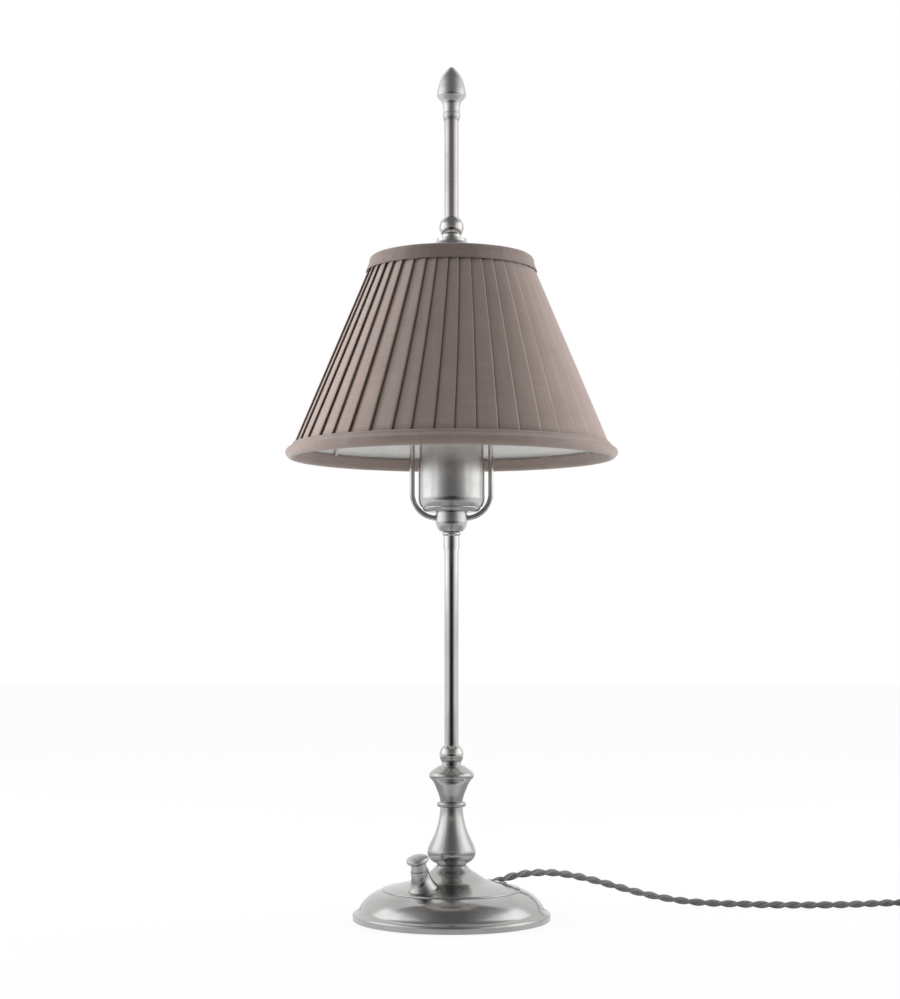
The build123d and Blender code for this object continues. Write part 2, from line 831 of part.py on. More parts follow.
def ball_nut():
    """Upper ball, bored blind from below for the stud and from above for the rod."""
    nut = ball(ball_nut_low, upper_neck_height, upper_ball_center, upper_ball_radius, upper_ball_top, 0)
    stud_top = yoke_shoulder + stud_length
    nut -= disc(stud_radius + moving_clearance, ball_nut_low - cut_overrun, stud_top + moving_clearance)
    nut -= disc(tube_radius + slip, upper_ball_top - rod_socket_depth, upper_ball_top + cut_overrun)
    return nut


def acorn_finial():
    """Acorn in its cup on a short sleeve that takes the rod."""
    foot = swell(acorn_foot_shares, 0, acorn_collar_radius, acorn_low, acorn_height)
    cup = swell(acorn_cup_shares, acorn_collar_radius, acorn_rim_radius, acorn_low, acorn_height)
    nut = swell(acorn_nut_shares, 0, acorn_rim_radius, acorn_low, acorn_height)
    tip = at(0, acorn_low + acorn_height)
    acorn = turned(
        Polyline(tip, at(0, acorn_low), *foot, cup[0]),
        Spline(*cup),
        Line(cup[-1], nut[0]),
        Spline(*nut),
        Line(nut[-1], tip),
    )
    return acorn - disc(tube_radius + slip, acorn_low - cut_overrun, acorn_low + acorn_rod_depth)


# Push switch


def switch_bezel():
    """Trumpet-shaped collar with a ring groove, seated on the crown of the base."""
    collar_low = bezel_height * bezel_collar_share
    groove_low = bezel_height * bezel_groove_shares[0]
    groove_high = bezel_height * bezel_groove_shares[1]
    groove_radius = bezel_collar_radius - bezel_groove_depth
    throat_height = collar_low - bezel_foot_edge
    throat = swell(
        [bezel_throat_shares], bezel_collar_radius, bezel_foot_radius, bezel_foot_edge, throat_height
    )[0]
    bezel = turned(
        Polyline(at(bezel_bore_radius, 0), at(bezel_foot_radius, 0), at(bezel_foot_radius, bezel_foot_edge)),
        ThreePointArc(at(bezel_foot_radius, bezel_foot_edge), throat, at(bezel_collar_radius, collar_low)),
        Polyline(
            at(bezel_collar_radius, collar_low),
            at(bezel_collar_radius, groove_low),
            at(groove_radius, groove_low),
            at(groove_radius, groove_high),
            at(bezel_collar_radius, groove_high),
            at(bezel_collar_radius, bezel_height),
            at(bezel_bore_radius, bezel_height),
            at(bezel_bore_radius, 0),
        ),
    )
    return switch_plane * bezel


def switch_button():
    """Mushroom cap on a neck, with the pin that works the switch."""
    neck_low = bezel_height - button_engagement
    cap_low = bezel_height + button_neck_height
    cap_top = cap_low + button_cap_height
    edge = swell(button_edge_shares, 0, button_cap_radius, cap_low, button_cap_height)
    pin_low = neck_low - button_pin_length
    button = turned(
        Polyline(
            at(0, cap_top),
            at(0, pin_low),
            at(button_pin_radius, pin_low),
            at(button_pin_radius, neck_low),
            at(button_neck_radius, neck_low),
            at(button_neck_radius, cap_low),
            edge[0],
        ),
        ThreePointArc(*edge),
        TangentArc(at(0, cap_top), edge[-1], tangent=Vector(1, 0, 0)),
    )
    return switch_plane * button


def switch_body():
    """Threaded bush and can, bored for the button's pin."""
    can_top = -base_wall - switch_nut_gap - switch_nut_height
    body = disc(switch_can_radius, can_top - switch_can_height, can_top)
    body += disc(switch_bush_radius, can_top, switch_bush_top)
    pin_low = bezel_height - button_engagement - button_pin_length
    bore = button_pin_radius + moving_clearance
    body -= disc(bore, pin_low - button_travel - moving_clearance, switch_bush_top + cut_overrun)
    return switch_plane * body


def switch_nut():
    """Hexagon nut that clamps the bush under the base."""
    top = -base_wall - switch_nut_gap
    return switch_plane * hexagon(switch_nut_flats, top - switch_nut_height, top, switch_bush_radius + slip)


# Wound and swept tubes


def biarc(start, start_way, end, end_way):
    """Two arcs that leave start along one direction and reach end along another."""
    chord = end - start
    spread = 2 * (1 - start_way.dot(end_way))
    pull = chord.dot(start_way + end_way)
    reach = (math.sqrt(pull**2 + spread * chord.dot(chord)) - pull) / spread
    first = start + start_way * reach
    second = end - end_way * reach
    joint = (first + second) / 2
    return [
        TangentArc(start, joint, tangent=start_way),
        TangentArc(joint, end, tangent=(second - first).normalized()),
    ]


def wound_path(place, turns, steps_per_turn, straight):
    """Wire along a winding given by a function of turns, with straight ends."""
    count = round(turns * steps_per_turn)
    nudge = 1 / (steps_per_turn * count)
    knots = [place(step / steps_per_turn) for step in range(count + 1)]
    ways = []
    for step in range(count + 1):
        middle = step / steps_per_turn
        ways.append((place(middle + nudge) - place(middle - nudge)).normalized())
    edges = [Line(knots[0] - ways[0] * straight, knots[0])]
    for step in range(count):
        edges.extend(biarc(knots[step], ways[step], knots[step + 1], ways[step + 1]))
    edges.append(Line(knots[-1], knots[-1] + ways[-1] * straight))
    return Wire(edges)


def tube_along(path, radius):
    """Round tube along a wire."""
    return sweep(Plane(origin=path @ 0, z_dir=path % 0) * Circle(radius), path=path)


def least_gap(path, radius):
    """Least clear distance between turns of a tube, measured on points of its centre line."""
    spacing = min(sample_spacing, radius)
    count = round(path.length / spacing)
    points = [tuple(path @ (step / count)) for step in range(count + 1)]
    apart = round(3 * math.pi * radius / spacing)
    nearest = path.length
    for step, point in enumerate(points):
        for other in points[step + apart:]:
            nearest = min(nearest, math.dist(point, other))
    return nearest - 2 * radius


def report_tube(name, solid, path, radius):
    """Print a tube's length and compare its volume with its section times its length."""
    expected = math.pi * radius**2 * path.length
    print(name, "length %.1f" % path.length, "volume share %.4f" % (solid.volume / expected))


def routed_path(name, points):
    """Path of straight runs and the largest arcs that they allow, with its radii printed."""
    route = [Vector(*point) for point in points]
    radii = []
    for before, corner, after in zip(route, route[1:], route[2:]):
        turn = math.radians((corner - before).get_angle(after - corner))
        run = min((corner - before).length, (after - corner).length)
        radii.append(bend_share * run / math.tan(turn / 2))
    print(name, "radii", " ".join("%.0f" % radius for radius in radii))
    return FilletPolyline(*route, radius=radii)


def spring_place(turns):
    """Point of the switch's return spring after a number of turns."""
    rise = bezel_height - button_engagement - switch_bush_top - 2 * (spring_wire_radius + slip)
    low = switch_bush_top + spring_wire_radius + slip
    local = around(spring_radius, 360 * turns, low + rise * turns / spring_turns)
    return switch_plane.from_local_coords(local)


coil_step = 2 * cord_radius + coil_turn_gap
coil_start_radius = coil_reverse_radius + coil_step * coil_reverse_turn
coil_start_azimuth = 90 + math.degrees(math.atan(coil_step / (2 * math.pi * coil_start_radius)))
coil_entry = Vector(*cord_route[-1]) + Vector(2 * cord_radius, 0, 0)
coil_center = coil_entry - around(coil_start_radius, coil_start_azimuth, 0)
coil_lift = coil_entry.Z - cord_radius


def coil_place(turns):
    """Point of the coil after a number of turns: in below, up a layer, and out above."""
    inward = min(turns, coil_reverse_turn)
    outward_turns = max(turns - coil_reverse_turn, 0)
    radius = coil_start_radius - coil_step * (inward - outward_turns)
    climb = min(max((turns - coil_reverse_turn) / climb_turns + 1 / 2, 0), 1)
    height = coil_step * (1 - math.cos(math.pi * climb)) / 2
    return coil_center + around(radius, coil_start_azimuth - 360 * turns, height)


coil_path = wound_path(coil_place, coil_end_turn, coil_steps_per_turn, 2 * cord_radius)
plug_axis = (coil_path % 1).normalized()
plug_plane = Plane(origin=coil_path @ 1, x_dir=plug_axis.cross(Vector(0, 0, 1)), z_dir=plug_axis)


def cord_tie():
    """Flat strap closed round all the turns at one place of the coil."""
    clear = cord_clearance
    end_radius = coil_reverse_radius + coil_step * (coil_end_turn - coil_reverse_turn)
    bow = coil_reverse_radius - math.sqrt(coil_reverse_radius**2 - (tie_width / 2) ** 2)
    inner = coil_reverse_radius - bow - cord_radius - clear
    outer = end_radius + cord_radius + clear
    low = coil_lift - clear
    high = coil_lift + 2 * cord_radius + coil_step + clear
    hollow = RectangleRounded(outer - inner, high - low, cord_radius)
    strap = offset(hollow, tie_thickness)
    way = around(1, tie_azimuth, 0)
    middle = Vector(coil_center.X, coil_center.Y, (low + high) / 2) + way * ((inner + outer) / 2)
    plane = Plane(origin=middle, x_dir=way, z_dir=way.cross(Vector(0, 0, 1)))
    return extrude(plane * (strap - hollow), tie_width / 2, both=True)


def plug_body():
    """Flat two-pin plug on its side, with a tapered strain relief towards the cord."""
    half_thickness = plug_plane.origin.Z
    relief = turned(
        Polyline(
            at(0, 0),
            at(plug_relief_radius, 0),
            at(plug_relief_root_radius, plug_relief_length),
            at(0, plug_relief_length),
            close=True,
        )
    )
    block = extrude(RectangleRounded(plug_width, 2 * half_thickness, plug_corner), plug_length)
    ends = block.faces().filter_by(Axis.Z).edges()
    block = Pos(0, 0, plug_relief_length) * fillet(ends, plug_edge)
    body = block + relief
    face = plug_relief_length + plug_length
    seat = disc(pin_radius + slip, face - pin_seat, face + pin_seat)
    for side in (-1, 1):
        body -= Pos(side * pin_spacing / 2, 0, 0) * seat
    return plug_plane * body


def plug_pins():
    """Two round pins seated in the plug."""
    low = plug_relief_length + plug_length - pin_seat
    high = plug_relief_length + plug_length + pin_length
    shank = disc(pin_radius, low, high - pin_radius)
    nose = Pos(0, 0, high - pin_radius) * Sphere(pin_radius)
    pin = shank + nose
    return Compound([plug_plane * Pos(side * pin_spacing / 2, 0, 0) * pin for side in (-1, 1)])


def cord_gland():
    """Slanting bush in the crown of the base, its outer end cut level with the dome."""
    bush = disc(gland_outer_radius, -gland_inner_length, gland_outer_length, gland_bore_radius)
    return split(gland_plane * bush, bisect_by=gland_face, keep=Keep.BOTTOM)


def stem_wires():
    """Two insulated wires side by side in the stem tube."""
    wires = [Pos(side * wire_offset, 0, 0) * disc(wire_radius, tube_bottom, insert_low) for side in (-1, 1)]
    return Compound(wires)


# All pieces

cord_path = routed_path("cord_lead", cord_route)
base_lead_path = routed_path(
    "base_lead", [*base_lead_route, tuple(switch_plane.from_local_coords(base_lead_end))]
)
spring_path = wound_path(spring_place, spring_turns, coil_steps_per_turn, 2 * spring_wire_radius)

pieces = {
    "felt_pad": felt_pad(),
    "base_shell": base_shell(),
    "base_weight": base_weight(),
    "base_washer": disc(washer_radius, base_nut_top, nut_recess_top, tube_radius + slip),
    "base_nut": hexagon(base_nut_flats, base_nut_top - base_nut_height, base_nut_top, tube_radius + slip),
    "switch_bezel": switch_bezel(),
    "switch_button": switch_button(),
    "switch_body": switch_body(),
    "switch_nut": switch_nut(),
    "switch_spring": tube_along(spring_path, spring_wire_radius),
    "cord_gland": cord_gland(),
    "base_lead": tube_along(base_lead_path, base_lead_radius),
    "baluster": baluster(),
    "lower_ball": ball(
        baluster_top,
        ball_neck_height,
        lower_ball_center,
        lower_ball_radius,
        lower_ball_top,
        tube_radius + slip,
    ),
    "stem_tube": disc(tube_radius, tube_bottom, tube_top, tube_bore_radius),
    "stem_wires": stem_wires(),
    "stem_ferrule": stem_ferrule(),
    "harp_hub": harp_hub(),
    "harp_arm_left": harp_arm(-1),
    "harp_arm_right": harp_arm(1),
    "harp_yoke": harp_yoke(),
    "lampholder_cap": holder_cap(),
    "lampholder_shell": disc(skirt_radius, holder_joint, skirt_top, skirt_radius - skirt_wall),
    "lampholder_insert": holder_insert(),
    "screw_contact": disc(screw_radius + screw_wall, insert_top - screw_height, insert_top, screw_radius),
    "centre_contact": disc(contact_radius, socket_floor, socket_floor + contact_thickness),
    "bulb_cap": bulb_cap(),
    "bulb_glass": bulb_glass(),
    "shade_spider": shade_spider(),
    "shade_top_ring": shade_ring(shade_ring_top),
    "shade_bottom_ring": shade_ring(shade_ring_low),
    "shade_struts": shade_struts(),
    "shade_cover": shade_cover(),
    "shade_lining": shade_lining(),
    "shade_top_band": top_band(),
    "shade_hem": rolled_trim(shade_ring_low, 1, hem_outer_height, hem_inner_height),
    "fitter_cap": fitter_cap(),
    "fitter_washer": disc(fitter_washer_radius, fitter_top, washer_top, stud_radius + slip),
    "ball_nut": ball_nut(),
    "upper_rod": disc(tube_radius, upper_ball_top - rod_socket_depth, acorn_low + acorn_rod_depth),
    "acorn_finial": acorn_finial(),
    "cord_lead": tube_along(cord_path, cord_radius),
    "cord_coil": tube_along(coil_path, cord_radius),
    "cord_tie": cord_tie(),
    "plug_body": plug_body(),
    "plug_pins": plug_pins(),
}

os.makedirs("parts", exist_ok=True)
for name, piece in pieces.items():
    export_step(piece, f"parts/{name}.step")

report_tube("cord_lead", pieces["cord_lead"], cord_path, cord_radius)
report_tube("cord_coil", pieces["cord_coil"], coil_path, cord_radius)
report_tube("switch_spring", pieces["switch_spring"], spring_path, spring_wire_radius)
print("cord_coil least gap %.2f" % least_gap(coil_path, cord_radius))
print("switch_spring least gap %.2f" % least_gap(spring_path, spring_wire_radius))
print("cord length in all %.0f" % (cord_path.length + coil_path.length))
print("top of the lamp %.1f" % (acorn_low + acorn_height))
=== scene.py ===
# %% [markdown]
# # A table lamp with a pleated shade
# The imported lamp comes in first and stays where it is: metal, wire, plug and bulb keep their solids and only
# get finishes. Cloth, felt and cord are modelled here, because a solid can't show folds, weave or twisted
# yarn.

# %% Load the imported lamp
import json
import math
import random

import bmesh
import bpy
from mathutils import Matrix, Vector, noise


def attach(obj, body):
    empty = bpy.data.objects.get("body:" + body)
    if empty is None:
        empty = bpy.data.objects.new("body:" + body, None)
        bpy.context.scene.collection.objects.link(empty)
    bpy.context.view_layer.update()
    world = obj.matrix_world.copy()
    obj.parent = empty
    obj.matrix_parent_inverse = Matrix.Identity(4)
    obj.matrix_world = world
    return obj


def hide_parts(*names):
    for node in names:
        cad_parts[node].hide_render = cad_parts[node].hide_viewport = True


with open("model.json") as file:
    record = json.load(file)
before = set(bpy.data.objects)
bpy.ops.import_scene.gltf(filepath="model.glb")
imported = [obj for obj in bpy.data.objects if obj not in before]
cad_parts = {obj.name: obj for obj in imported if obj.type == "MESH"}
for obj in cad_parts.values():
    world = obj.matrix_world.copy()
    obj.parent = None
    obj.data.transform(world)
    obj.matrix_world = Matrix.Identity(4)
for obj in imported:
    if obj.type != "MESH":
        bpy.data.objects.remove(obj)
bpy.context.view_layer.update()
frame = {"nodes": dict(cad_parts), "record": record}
nodes = frame["nodes"]
scene = bpy.context.scene
MM = 0.001

# %% [markdown]
# The photograph was taken level, from just above the base, with the film shifted upwards: the stem and the
# harp stay parallel although the picture reaches the finial. A tilted camera would make them lean together,
# so the camera here looks straight ahead too, and its shift frames the lamp.

# %% Camera
PHOTO_WIDTH = 900
PHOTO_HEIGHT = 999
FOCAL_PIXELS = 2000
LAMP_COLUMN = 451.5
HORIZON_ROW = 630
CAMERA_DISTANCE = 1.406
CAMERA_HEIGHT = 0.2042
SENSOR = 36.0

camera = bpy.data.objects.new("photo_camera", bpy.data.cameras.new("photo_camera"))
camera.data.sensor_width = SENSOR
camera.data.lens = SENSOR * FOCAL_PIXELS / PHOTO_HEIGHT
camera.data.shift_x = (PHOTO_WIDTH / 2 - LAMP_COLUMN) / PHOTO_HEIGHT
camera.data.shift_y = (HORIZON_ROW - PHOTO_HEIGHT / 2) / PHOTO_HEIGHT
camera.location = (0, -CAMERA_DISTANCE, CAMERA_HEIGHT)
camera.rotation_euler = (math.radians(90), 0, 0)
scene.collection.objects.link(camera)
scene.camera = camera
scene.view_settings.view_transform = "Standard"
print("camera lens", round(camera.data.lens, 2), "shift", round(camera.data.shift_y, 4))

# %% [markdown]
# Shader sums are easier to read as Python than as rows of nodes. One small class wraps an output of a node
# tree, so that `1 - mask` or `dark + 0.2 * grain` add the Math nodes by themselves. Its method `node` makes
# every other kind of node: settings go in first, because some of them change which sockets there are.


# %% Shader sums as Python
class Wire:
    """One output of a shader tree, which Python's operators can combine."""

    def __init__(self, tree, socket):
        self.tree = tree
        self.socket = socket

    def node(self, kind, settings, sockets, output=0):
        """Make a node, set it up, link or fill its sockets and return one of its outputs."""
        made = self.tree.nodes.new(kind)
        for name, value in settings.items():
            if name == "stops":
                for stop, (place, colour) in zip(made.color_ramp.elements, value):
                    stop.position = place
                    stop.color = colour
            else:
                setattr(made, name, value)
        for name, value in sockets.items():
            if isinstance(value, Wire):
                self.tree.links.new(value.socket, made.inputs[name])
            else:
                made.inputs[name].default_value = value
        return Wire(self.tree, made.outputs[output])

    def math(self, operation, first, second=0.0):
        return self.node("ShaderNodeMath", {"operation": operation}, {0: first, 1: second})

    def __add__(self, other):
        return self.math("ADD", self, other)

    def __radd__(self, other):
        return self.math("ADD", other, self)

    def __sub__(self, other):
        return self.math("SUBTRACT", self, other)

    def __rsub__(self, other):
        return self.math("SUBTRACT", other, self)

    def __mul__(self, other):
        return self.math("MULTIPLY", self, other)

    def __rmul__(self, other):
        return self.math("MULTIPLY", other, self)

    def __pow__(self, other):
        return self.math("POWER", self, other)

    def between(self, low, high):
        """0 below low, 1 above high and a smooth rise in between."""
        return self.node(
            "ShaderNodeMapRange",
            {"interpolation_type": "SMOOTHSTEP", "clamp": True},
            {"Value": self, "From Min": low, "From Max": high},
        )

    def tint(self, first, second):
        """A colour that goes from the first to the second as this value goes from 0 to 1."""
        return self.node(
            "ShaderNodeMix",
            {"data_type": "RGBA"},
            {"Factor": self, 6: (*first, 1), 7: (*second, 1)},
            output=2,
        )

    def bump(self, strength, depth):
        """A normal that this value raises by a depth in metres."""
        return self.node("ShaderNodeBump", {}, {"Height": self, "Strength": strength, "Distance": depth})

    def grain(self, scale, detail=3.0, stretch=(1, 1, 1)):
        """Noise on these coordinates, as many blots to the metre as scale says."""
        spread = self.node("ShaderNodeMapping", {}, {"Vector": self, "Scale": stretch})
        return spread.node("ShaderNodeTexNoise", {}, {"Vector": spread, "Scale": scale, "Detail": detail})

    def part(self, axis):
        """One of the three numbers of these coordinates."""
        return self.node("ShaderNodeSeparateXYZ", {}, {"Vector": self}, output=axis)


def new_finish(name, coordinates="Object"):
    """An empty material: itself, its shader and its coordinates."""
    material = bpy.data.materials.new(name)
    material.use_nodes = True
    tree = material.node_tree
    source = tree.nodes.new("ShaderNodeTexCoord")
    return material, tree.nodes["Principled BSDF"], Wire(tree, source.outputs[coordinates])


def feed(shader, sockets):
    """Fill or link the sockets of a material's shader."""
    for name, value in sockets.items():
        if isinstance(value, Wire):
            value.tree.links.new(value.socket, shader.inputs[name])
        else:
            shader.inputs[name].default_value = value


print("shader sums ready")

# %% [markdown]
# The floor and the world are white to the camera and to mirrors, which is how a cut-out catalogue picture
# looks. For soft light both are a little darker, so the lamp is lit at a plain level and keeps its shadow.

# %% Floor and world
FLOOR_SIZE = 12.0
FLOOR_DROP = 0.3 * MM
FLOOR_GREY = 0.72
FLOOR_SELF_LIGHT = 0.93
AMBIENT = 0.90


def seen_rays(tree):
    """1 for rays from the camera, from a mirror or through glass, and 0 for soft light."""
    path = tree.nodes.new("ShaderNodeLightPath").outputs
    camera_ray = Wire(tree, path["Is Camera Ray"])
    mirror_ray = Wire(tree, path["Is Glossy Ray"])
    glass_ray = Wire(tree, path["Is Transmission Ray"])
    return (camera_ray + mirror_ray + glass_ray).between(0.0, 0.1)


def matt(shader, grey):
    """A plain matt grey."""
    feed(shader, {"Base Color": (grey, grey, grey, 1), "Roughness": 1.0, "Specular IOR Level": 0.0})


def mix_surface(material, first, second, share):
    """Let a material go from its first shader to its second as the share goes from 0 to 1."""
    tree = material.node_tree
    mix = tree.nodes.new("ShaderNodeMixShader")
    for socket, source in enumerate((share.socket, first.outputs[0], second.outputs[0])):
        tree.links.new(source, mix.inputs[socket])
    tree.links.new(mix.outputs[0], tree.nodes["Material Output"].inputs["Surface"])


def stage_piece(name, shape, material):
    """An object of the studio, which isn't part of the lamp."""
    mesh = bpy.data.meshes.new(name)
    shape.to_mesh(mesh)
    shape.free()
    mesh.materials.append(material)
    piece = bpy.data.objects.new(name, mesh)
    scene.collection.objects.link(piece)
    return piece


floor_paint, floor_shader, floor_place = new_finish("pale_floor")
matt(floor_shader, FLOOR_GREY)
floor_white = floor_paint.node_tree.nodes.new("ShaderNodeEmission")
mix_surface(floor_paint, floor_shader, floor_white, seen_rays(floor_paint.node_tree) * FLOOR_SELF_LIGHT)
floor_shape = bmesh.new()
bmesh.ops.create_grid(floor_shape, x_segments=1, y_segments=1, size=FLOOR_SIZE / 2)
bmesh.ops.translate(floor_shape, verts=floor_shape.verts, vec=(0, 0, -FLOOR_DROP))
floor = stage_piece("floor", floor_shape, floor_paint)

world = bpy.data.worlds.new("white_studio")
scene.world = world
world.use_nodes = True
sky = world.node_tree.nodes["Background"]
sky.inputs["Color"].default_value = (1, 1, 1, 1)
sky_level = AMBIENT + (1 - AMBIENT) * seen_rays(world.node_tree)
world.node_tree.links.new(sky_level.socket, sky.inputs["Strength"])
print("floor spans", [round(v, 2) for v in floor.dimensions])

# %% [markdown]
# Two large soft boxes stand on each side of the lamp and show as bright windows in the metal. Two rim lights,
# a little behind the sides, brighten the edges of the shade, and two weak fills in front lift its middle. Rim
# lights and fills are hidden from mirrors, so that the metal keeps its plain windows.

# %% Lights
LIGHT_AIM = Vector((0, 0, 0.35))
BOX_REACH = 1.6
RIM_REACH = 1.5
RIM_SIZE = (0.5, 0.9)
FILL_REACH = 1.9
FILL_SIZE = (1.2, 0.5)


def area_light(name, azimuth, reach, height, size, watts, mirrored=True):
    """A soft rectangle of light beside the lamp, its azimuth counted from the camera's side."""
    data = bpy.data.lights.new(name, "AREA")
    data.shape = "RECTANGLE"
    data.size, data.size_y = size
    data.energy = watts
    light = bpy.data.objects.new(name, data)
    turn = math.radians(azimuth)
    light.location = (reach * math.sin(turn), -reach * math.cos(turn), height)
    light.rotation_euler = (LIGHT_AIM - light.location).to_track_quat("-Z", "Y").to_euler()
    light.visible_camera = False
    light.visible_glossy = mirrored
    scene.collection.objects.link(light)


for side, way, rim_watts in (("left", -1, 25.0), ("right", 1, 20.0)):
    area_light("wide_box_" + side, way * 82, BOX_REACH, height=0.90, size=(2.4, 1.4), watts=3.2)
    area_light("soft_box_" + side, way * 94, BOX_REACH, height=0.80, size=(1.2, 1.1), watts=1.9)
    area_light("rim_" + side, way * 105, RIM_REACH, 0.55, RIM_SIZE, watts=rim_watts, mirrored=False)
    area_light("fill_" + side, way * 45, FILL_REACH, 0.75, FILL_SIZE, watts=4.0, mirrored=False)

# %% [markdown]
# Polished metal shows what stands round it. A dark cloth lies in front of the picture and hangs behind the
# camera, and gives each turned part its dark stripe. It thins out to the sides, and a band of it at the
# height of the lampholder is thinner too, so the stripe is softer there.

# %% Dark cloth
CLOTH_REACH = 2.1
CLOTH_HALF_WIDTH = 3.4
CLOTH_FRONT = 0.40
CLOTH_LIFT = 2 * MM
CLOTH_TURN = math.radians(105)
CLOTH_GREY = 0.012


def absolute(wire):
    """A value without its sign."""
    return wire.math("ABSOLUTE", wire)


dark_cloth, dark_shader, dark_place = new_finish("dark_cloth")
matt(dark_shader, CLOTH_GREY)
across, along, above = (dark_place.part(axis) for axis in range(3))
side_fade = 1 - absolute(across).between(0.15, 3.1)
holder_band = above.between(0.34, 0.46) * (1 - above.between(0.58, 0.75))
top_fade = 1 - 0.16 * above.between(0.36, 0.56) - 0.24 * holder_band
front_fade = 1 - along.between(-0.75, -CLOTH_FRONT)
cloth_cover = side_fade * top_fade * front_fade.math("MAXIMUM", front_fade, above.between(0.3, 0.4))
dark_clear = dark_cloth.node_tree.nodes.new("ShaderNodeBsdfTransparent")
mix_surface(dark_cloth, dark_clear, dark_shader, cloth_cover)
cloth_shape = bmesh.new()
cloth_corners = [(side * CLOTH_HALF_WIDTH, -CLOTH_REACH, CLOTH_LIFT) for side in (-1, 1)]
cloth_ends = [cloth_shape.verts.new(corner) for corner in cloth_corners]
cloth_edge = cloth_shape.edges.new(cloth_ends)
front_ends = bmesh.ops.extrude_edge_only(cloth_shape, edges=[cloth_edge])["geom"]
front_ends = [item for item in front_ends if isinstance(item, bmesh.types.BMVert)]
bmesh.ops.translate(cloth_shape, verts=front_ends, vec=(0, CLOTH_REACH - CLOTH_FRONT, 0))
bmesh.ops.spin(
    cloth_shape, geom=[*cloth_ends, cloth_edge], cent=(0, 0, 0), axis=(1, 0, 0), angle=-CLOTH_TURN, steps=24
)
dark_hanging = stage_piece("dark_hanging", cloth_shape, dark_cloth)
dark_hanging.visible_camera = False
print("hanging spans", [round(v, 2) for v in dark_hanging.dimensions])

# %% [markdown]
# The parts that lean outwards mirror the floor. A thin grey card lies round the foot for them, darkest in a
# stripe in front. Only mirrors see it: the floor stays white in the picture, and the card casts no shadow.

# %% Reflected card
CARD_RADIUS = 0.8
CARD_GREY = 0.02
grey_card, card_shader, card_place = new_finish("grey_card")
matt(card_shader, CARD_GREY)
card_reach = (card_place.part(0) ** 2.0 + card_place.part(1) ** 2.0) ** 0.5
card_stripe = 1 - absolute(card_place.part(0)).between(0.01, 0.09)
card_near = card_reach.between(0.080, 0.145)
card_far = 1 - card_reach.between(0.35, CARD_RADIUS)
card_cover = (0.50 * card_near + 0.30 * card_stripe) * card_far
card_clear = grey_card.node_tree.nodes.new("ShaderNodeBsdfTransparent")
mix_surface(grey_card, card_clear, card_shader, card_cover)
card_shape = bmesh.new()
bmesh.ops.create_circle(card_shape, cap_ends=True, radius=CARD_RADIUS, segments=64)
card = stage_piece("reflected_card", card_shape, grey_card)
card.visible_camera = False
card.visible_diffuse = False
card.visible_shadow = False
print("card spans", [round(v, 2) for v in card.dimensions])

# %% [markdown]
# A mains cord is settled by facts before its shape: 5.4 mm thick, two yarn-covered wires twisted together,
# about 1.85 m long, out of the bush in the base and along the table. The route repeats the CAD route. A NURBS
# line through those points is smooth, as a real cord is, and the turns of the put-away coil are more of its
# points. The tie and the plug keep the length together beside the lamp.

# %% Cord route
CORD_ROUTE = [
    (27.0, 11.3, 24.1), (40.3, 19.0, 28.5), (55.0, 27.0, 30.3), (73.0, 36.5, 29.6), (92.0, 45.5, 25.6),
    (112.0, 53.5, 19.6), (133.0, 60.0, 12.9), (154.0, 65.0, 7.4), (176.0, 67.5, 3.9), (199.0, 66.5, 2.8),
    (222.0, 62.5, 2.75), (245.0, 59.3, 2.75), (269.0, 58.3, 2.9), (294.0, 59.5, 3.2), (319.0, 64.4, 3.6),
    (343.0, 67.4, 3.9), (366.0, 67.4, 3.9),
]
COIL_CENTRE = (372.34, 24.96)
COIL_START_AZIMUTH = 91.267
COIL_START_RADIUS = 42.45
COIL_STEP = 5.9
COIL_BACK_TURN = 3.5
COIL_TURNS = 7.25
COIL_LOW = 3.9
COIL_CLIMB = 0.5
COIL_POINTS = 24


def coil_point(turns):
    """Point of the coil after some turns: inwards on the table, up one layer, then outwards."""
    inward = min(turns, COIL_BACK_TURN)
    outward = max(turns - COIL_BACK_TURN, 0)
    radius = COIL_START_RADIUS - COIL_STEP * (inward - outward)
    climb = min(max((turns - COIL_BACK_TURN) / COIL_CLIMB + 0.5, 0), 1)
    azimuth = math.radians(COIL_START_AZIMUTH - 360 * turns)
    height = COIL_LOW + COIL_STEP * (1 - math.cos(math.pi * climb)) / 2
    return (
        COIL_CENTRE[0] + radius * math.cos(azimuth), COIL_CENTRE[1] + radius * math.sin(azimuth), height
    )


coil_steps = round(COIL_TURNS * COIL_POINTS)
coil_points = [coil_point(step / COIL_POINTS) for step in range(coil_steps + 1)]
coil_end = Vector(coil_points[-1])
coil_way = (coil_end - Vector(coil_points[-2])).normalized()
PLUG_ENTRY = 9.0
cord_controls = [Vector(p) * MM for p in CORD_ROUTE + coil_points]
cord_controls.append((coil_end + coil_way * PLUG_ENTRY) * MM)

route_data = bpy.data.curves.new("cord_route", "CURVE")
route_data.dimensions = "3D"
route_data.resolution_u = 16
route_line = route_data.splines.new("NURBS")
route_line.points.add(len(cord_controls) - 1)
for spot, control in zip(route_line.points, cord_controls):
    spot.co = (*control, 1)
route_line.order_u = 3
route_line.use_endpoint_u = True
route = bpy.data.objects.new("cord_route", route_data)
route_mesh = bpy.data.meshes.new_from_object(route)
STRIDE = 1.1 * MM
cord_line = []
for vertex in route_mesh.vertices:
    if not cord_line or (vertex.co - cord_line[-1]).length >= STRIDE:
        cord_line.append(vertex.co.copy())
bpy.data.objects.remove(route)
bpy.data.curves.remove(route_data)
bpy.data.meshes.remove(route_mesh)
cord_length = sum((b - a).length for a, b in zip(cord_line, cord_line[1:]))
print("cord", len(cord_line), "points", round(cord_length, 3), "m")

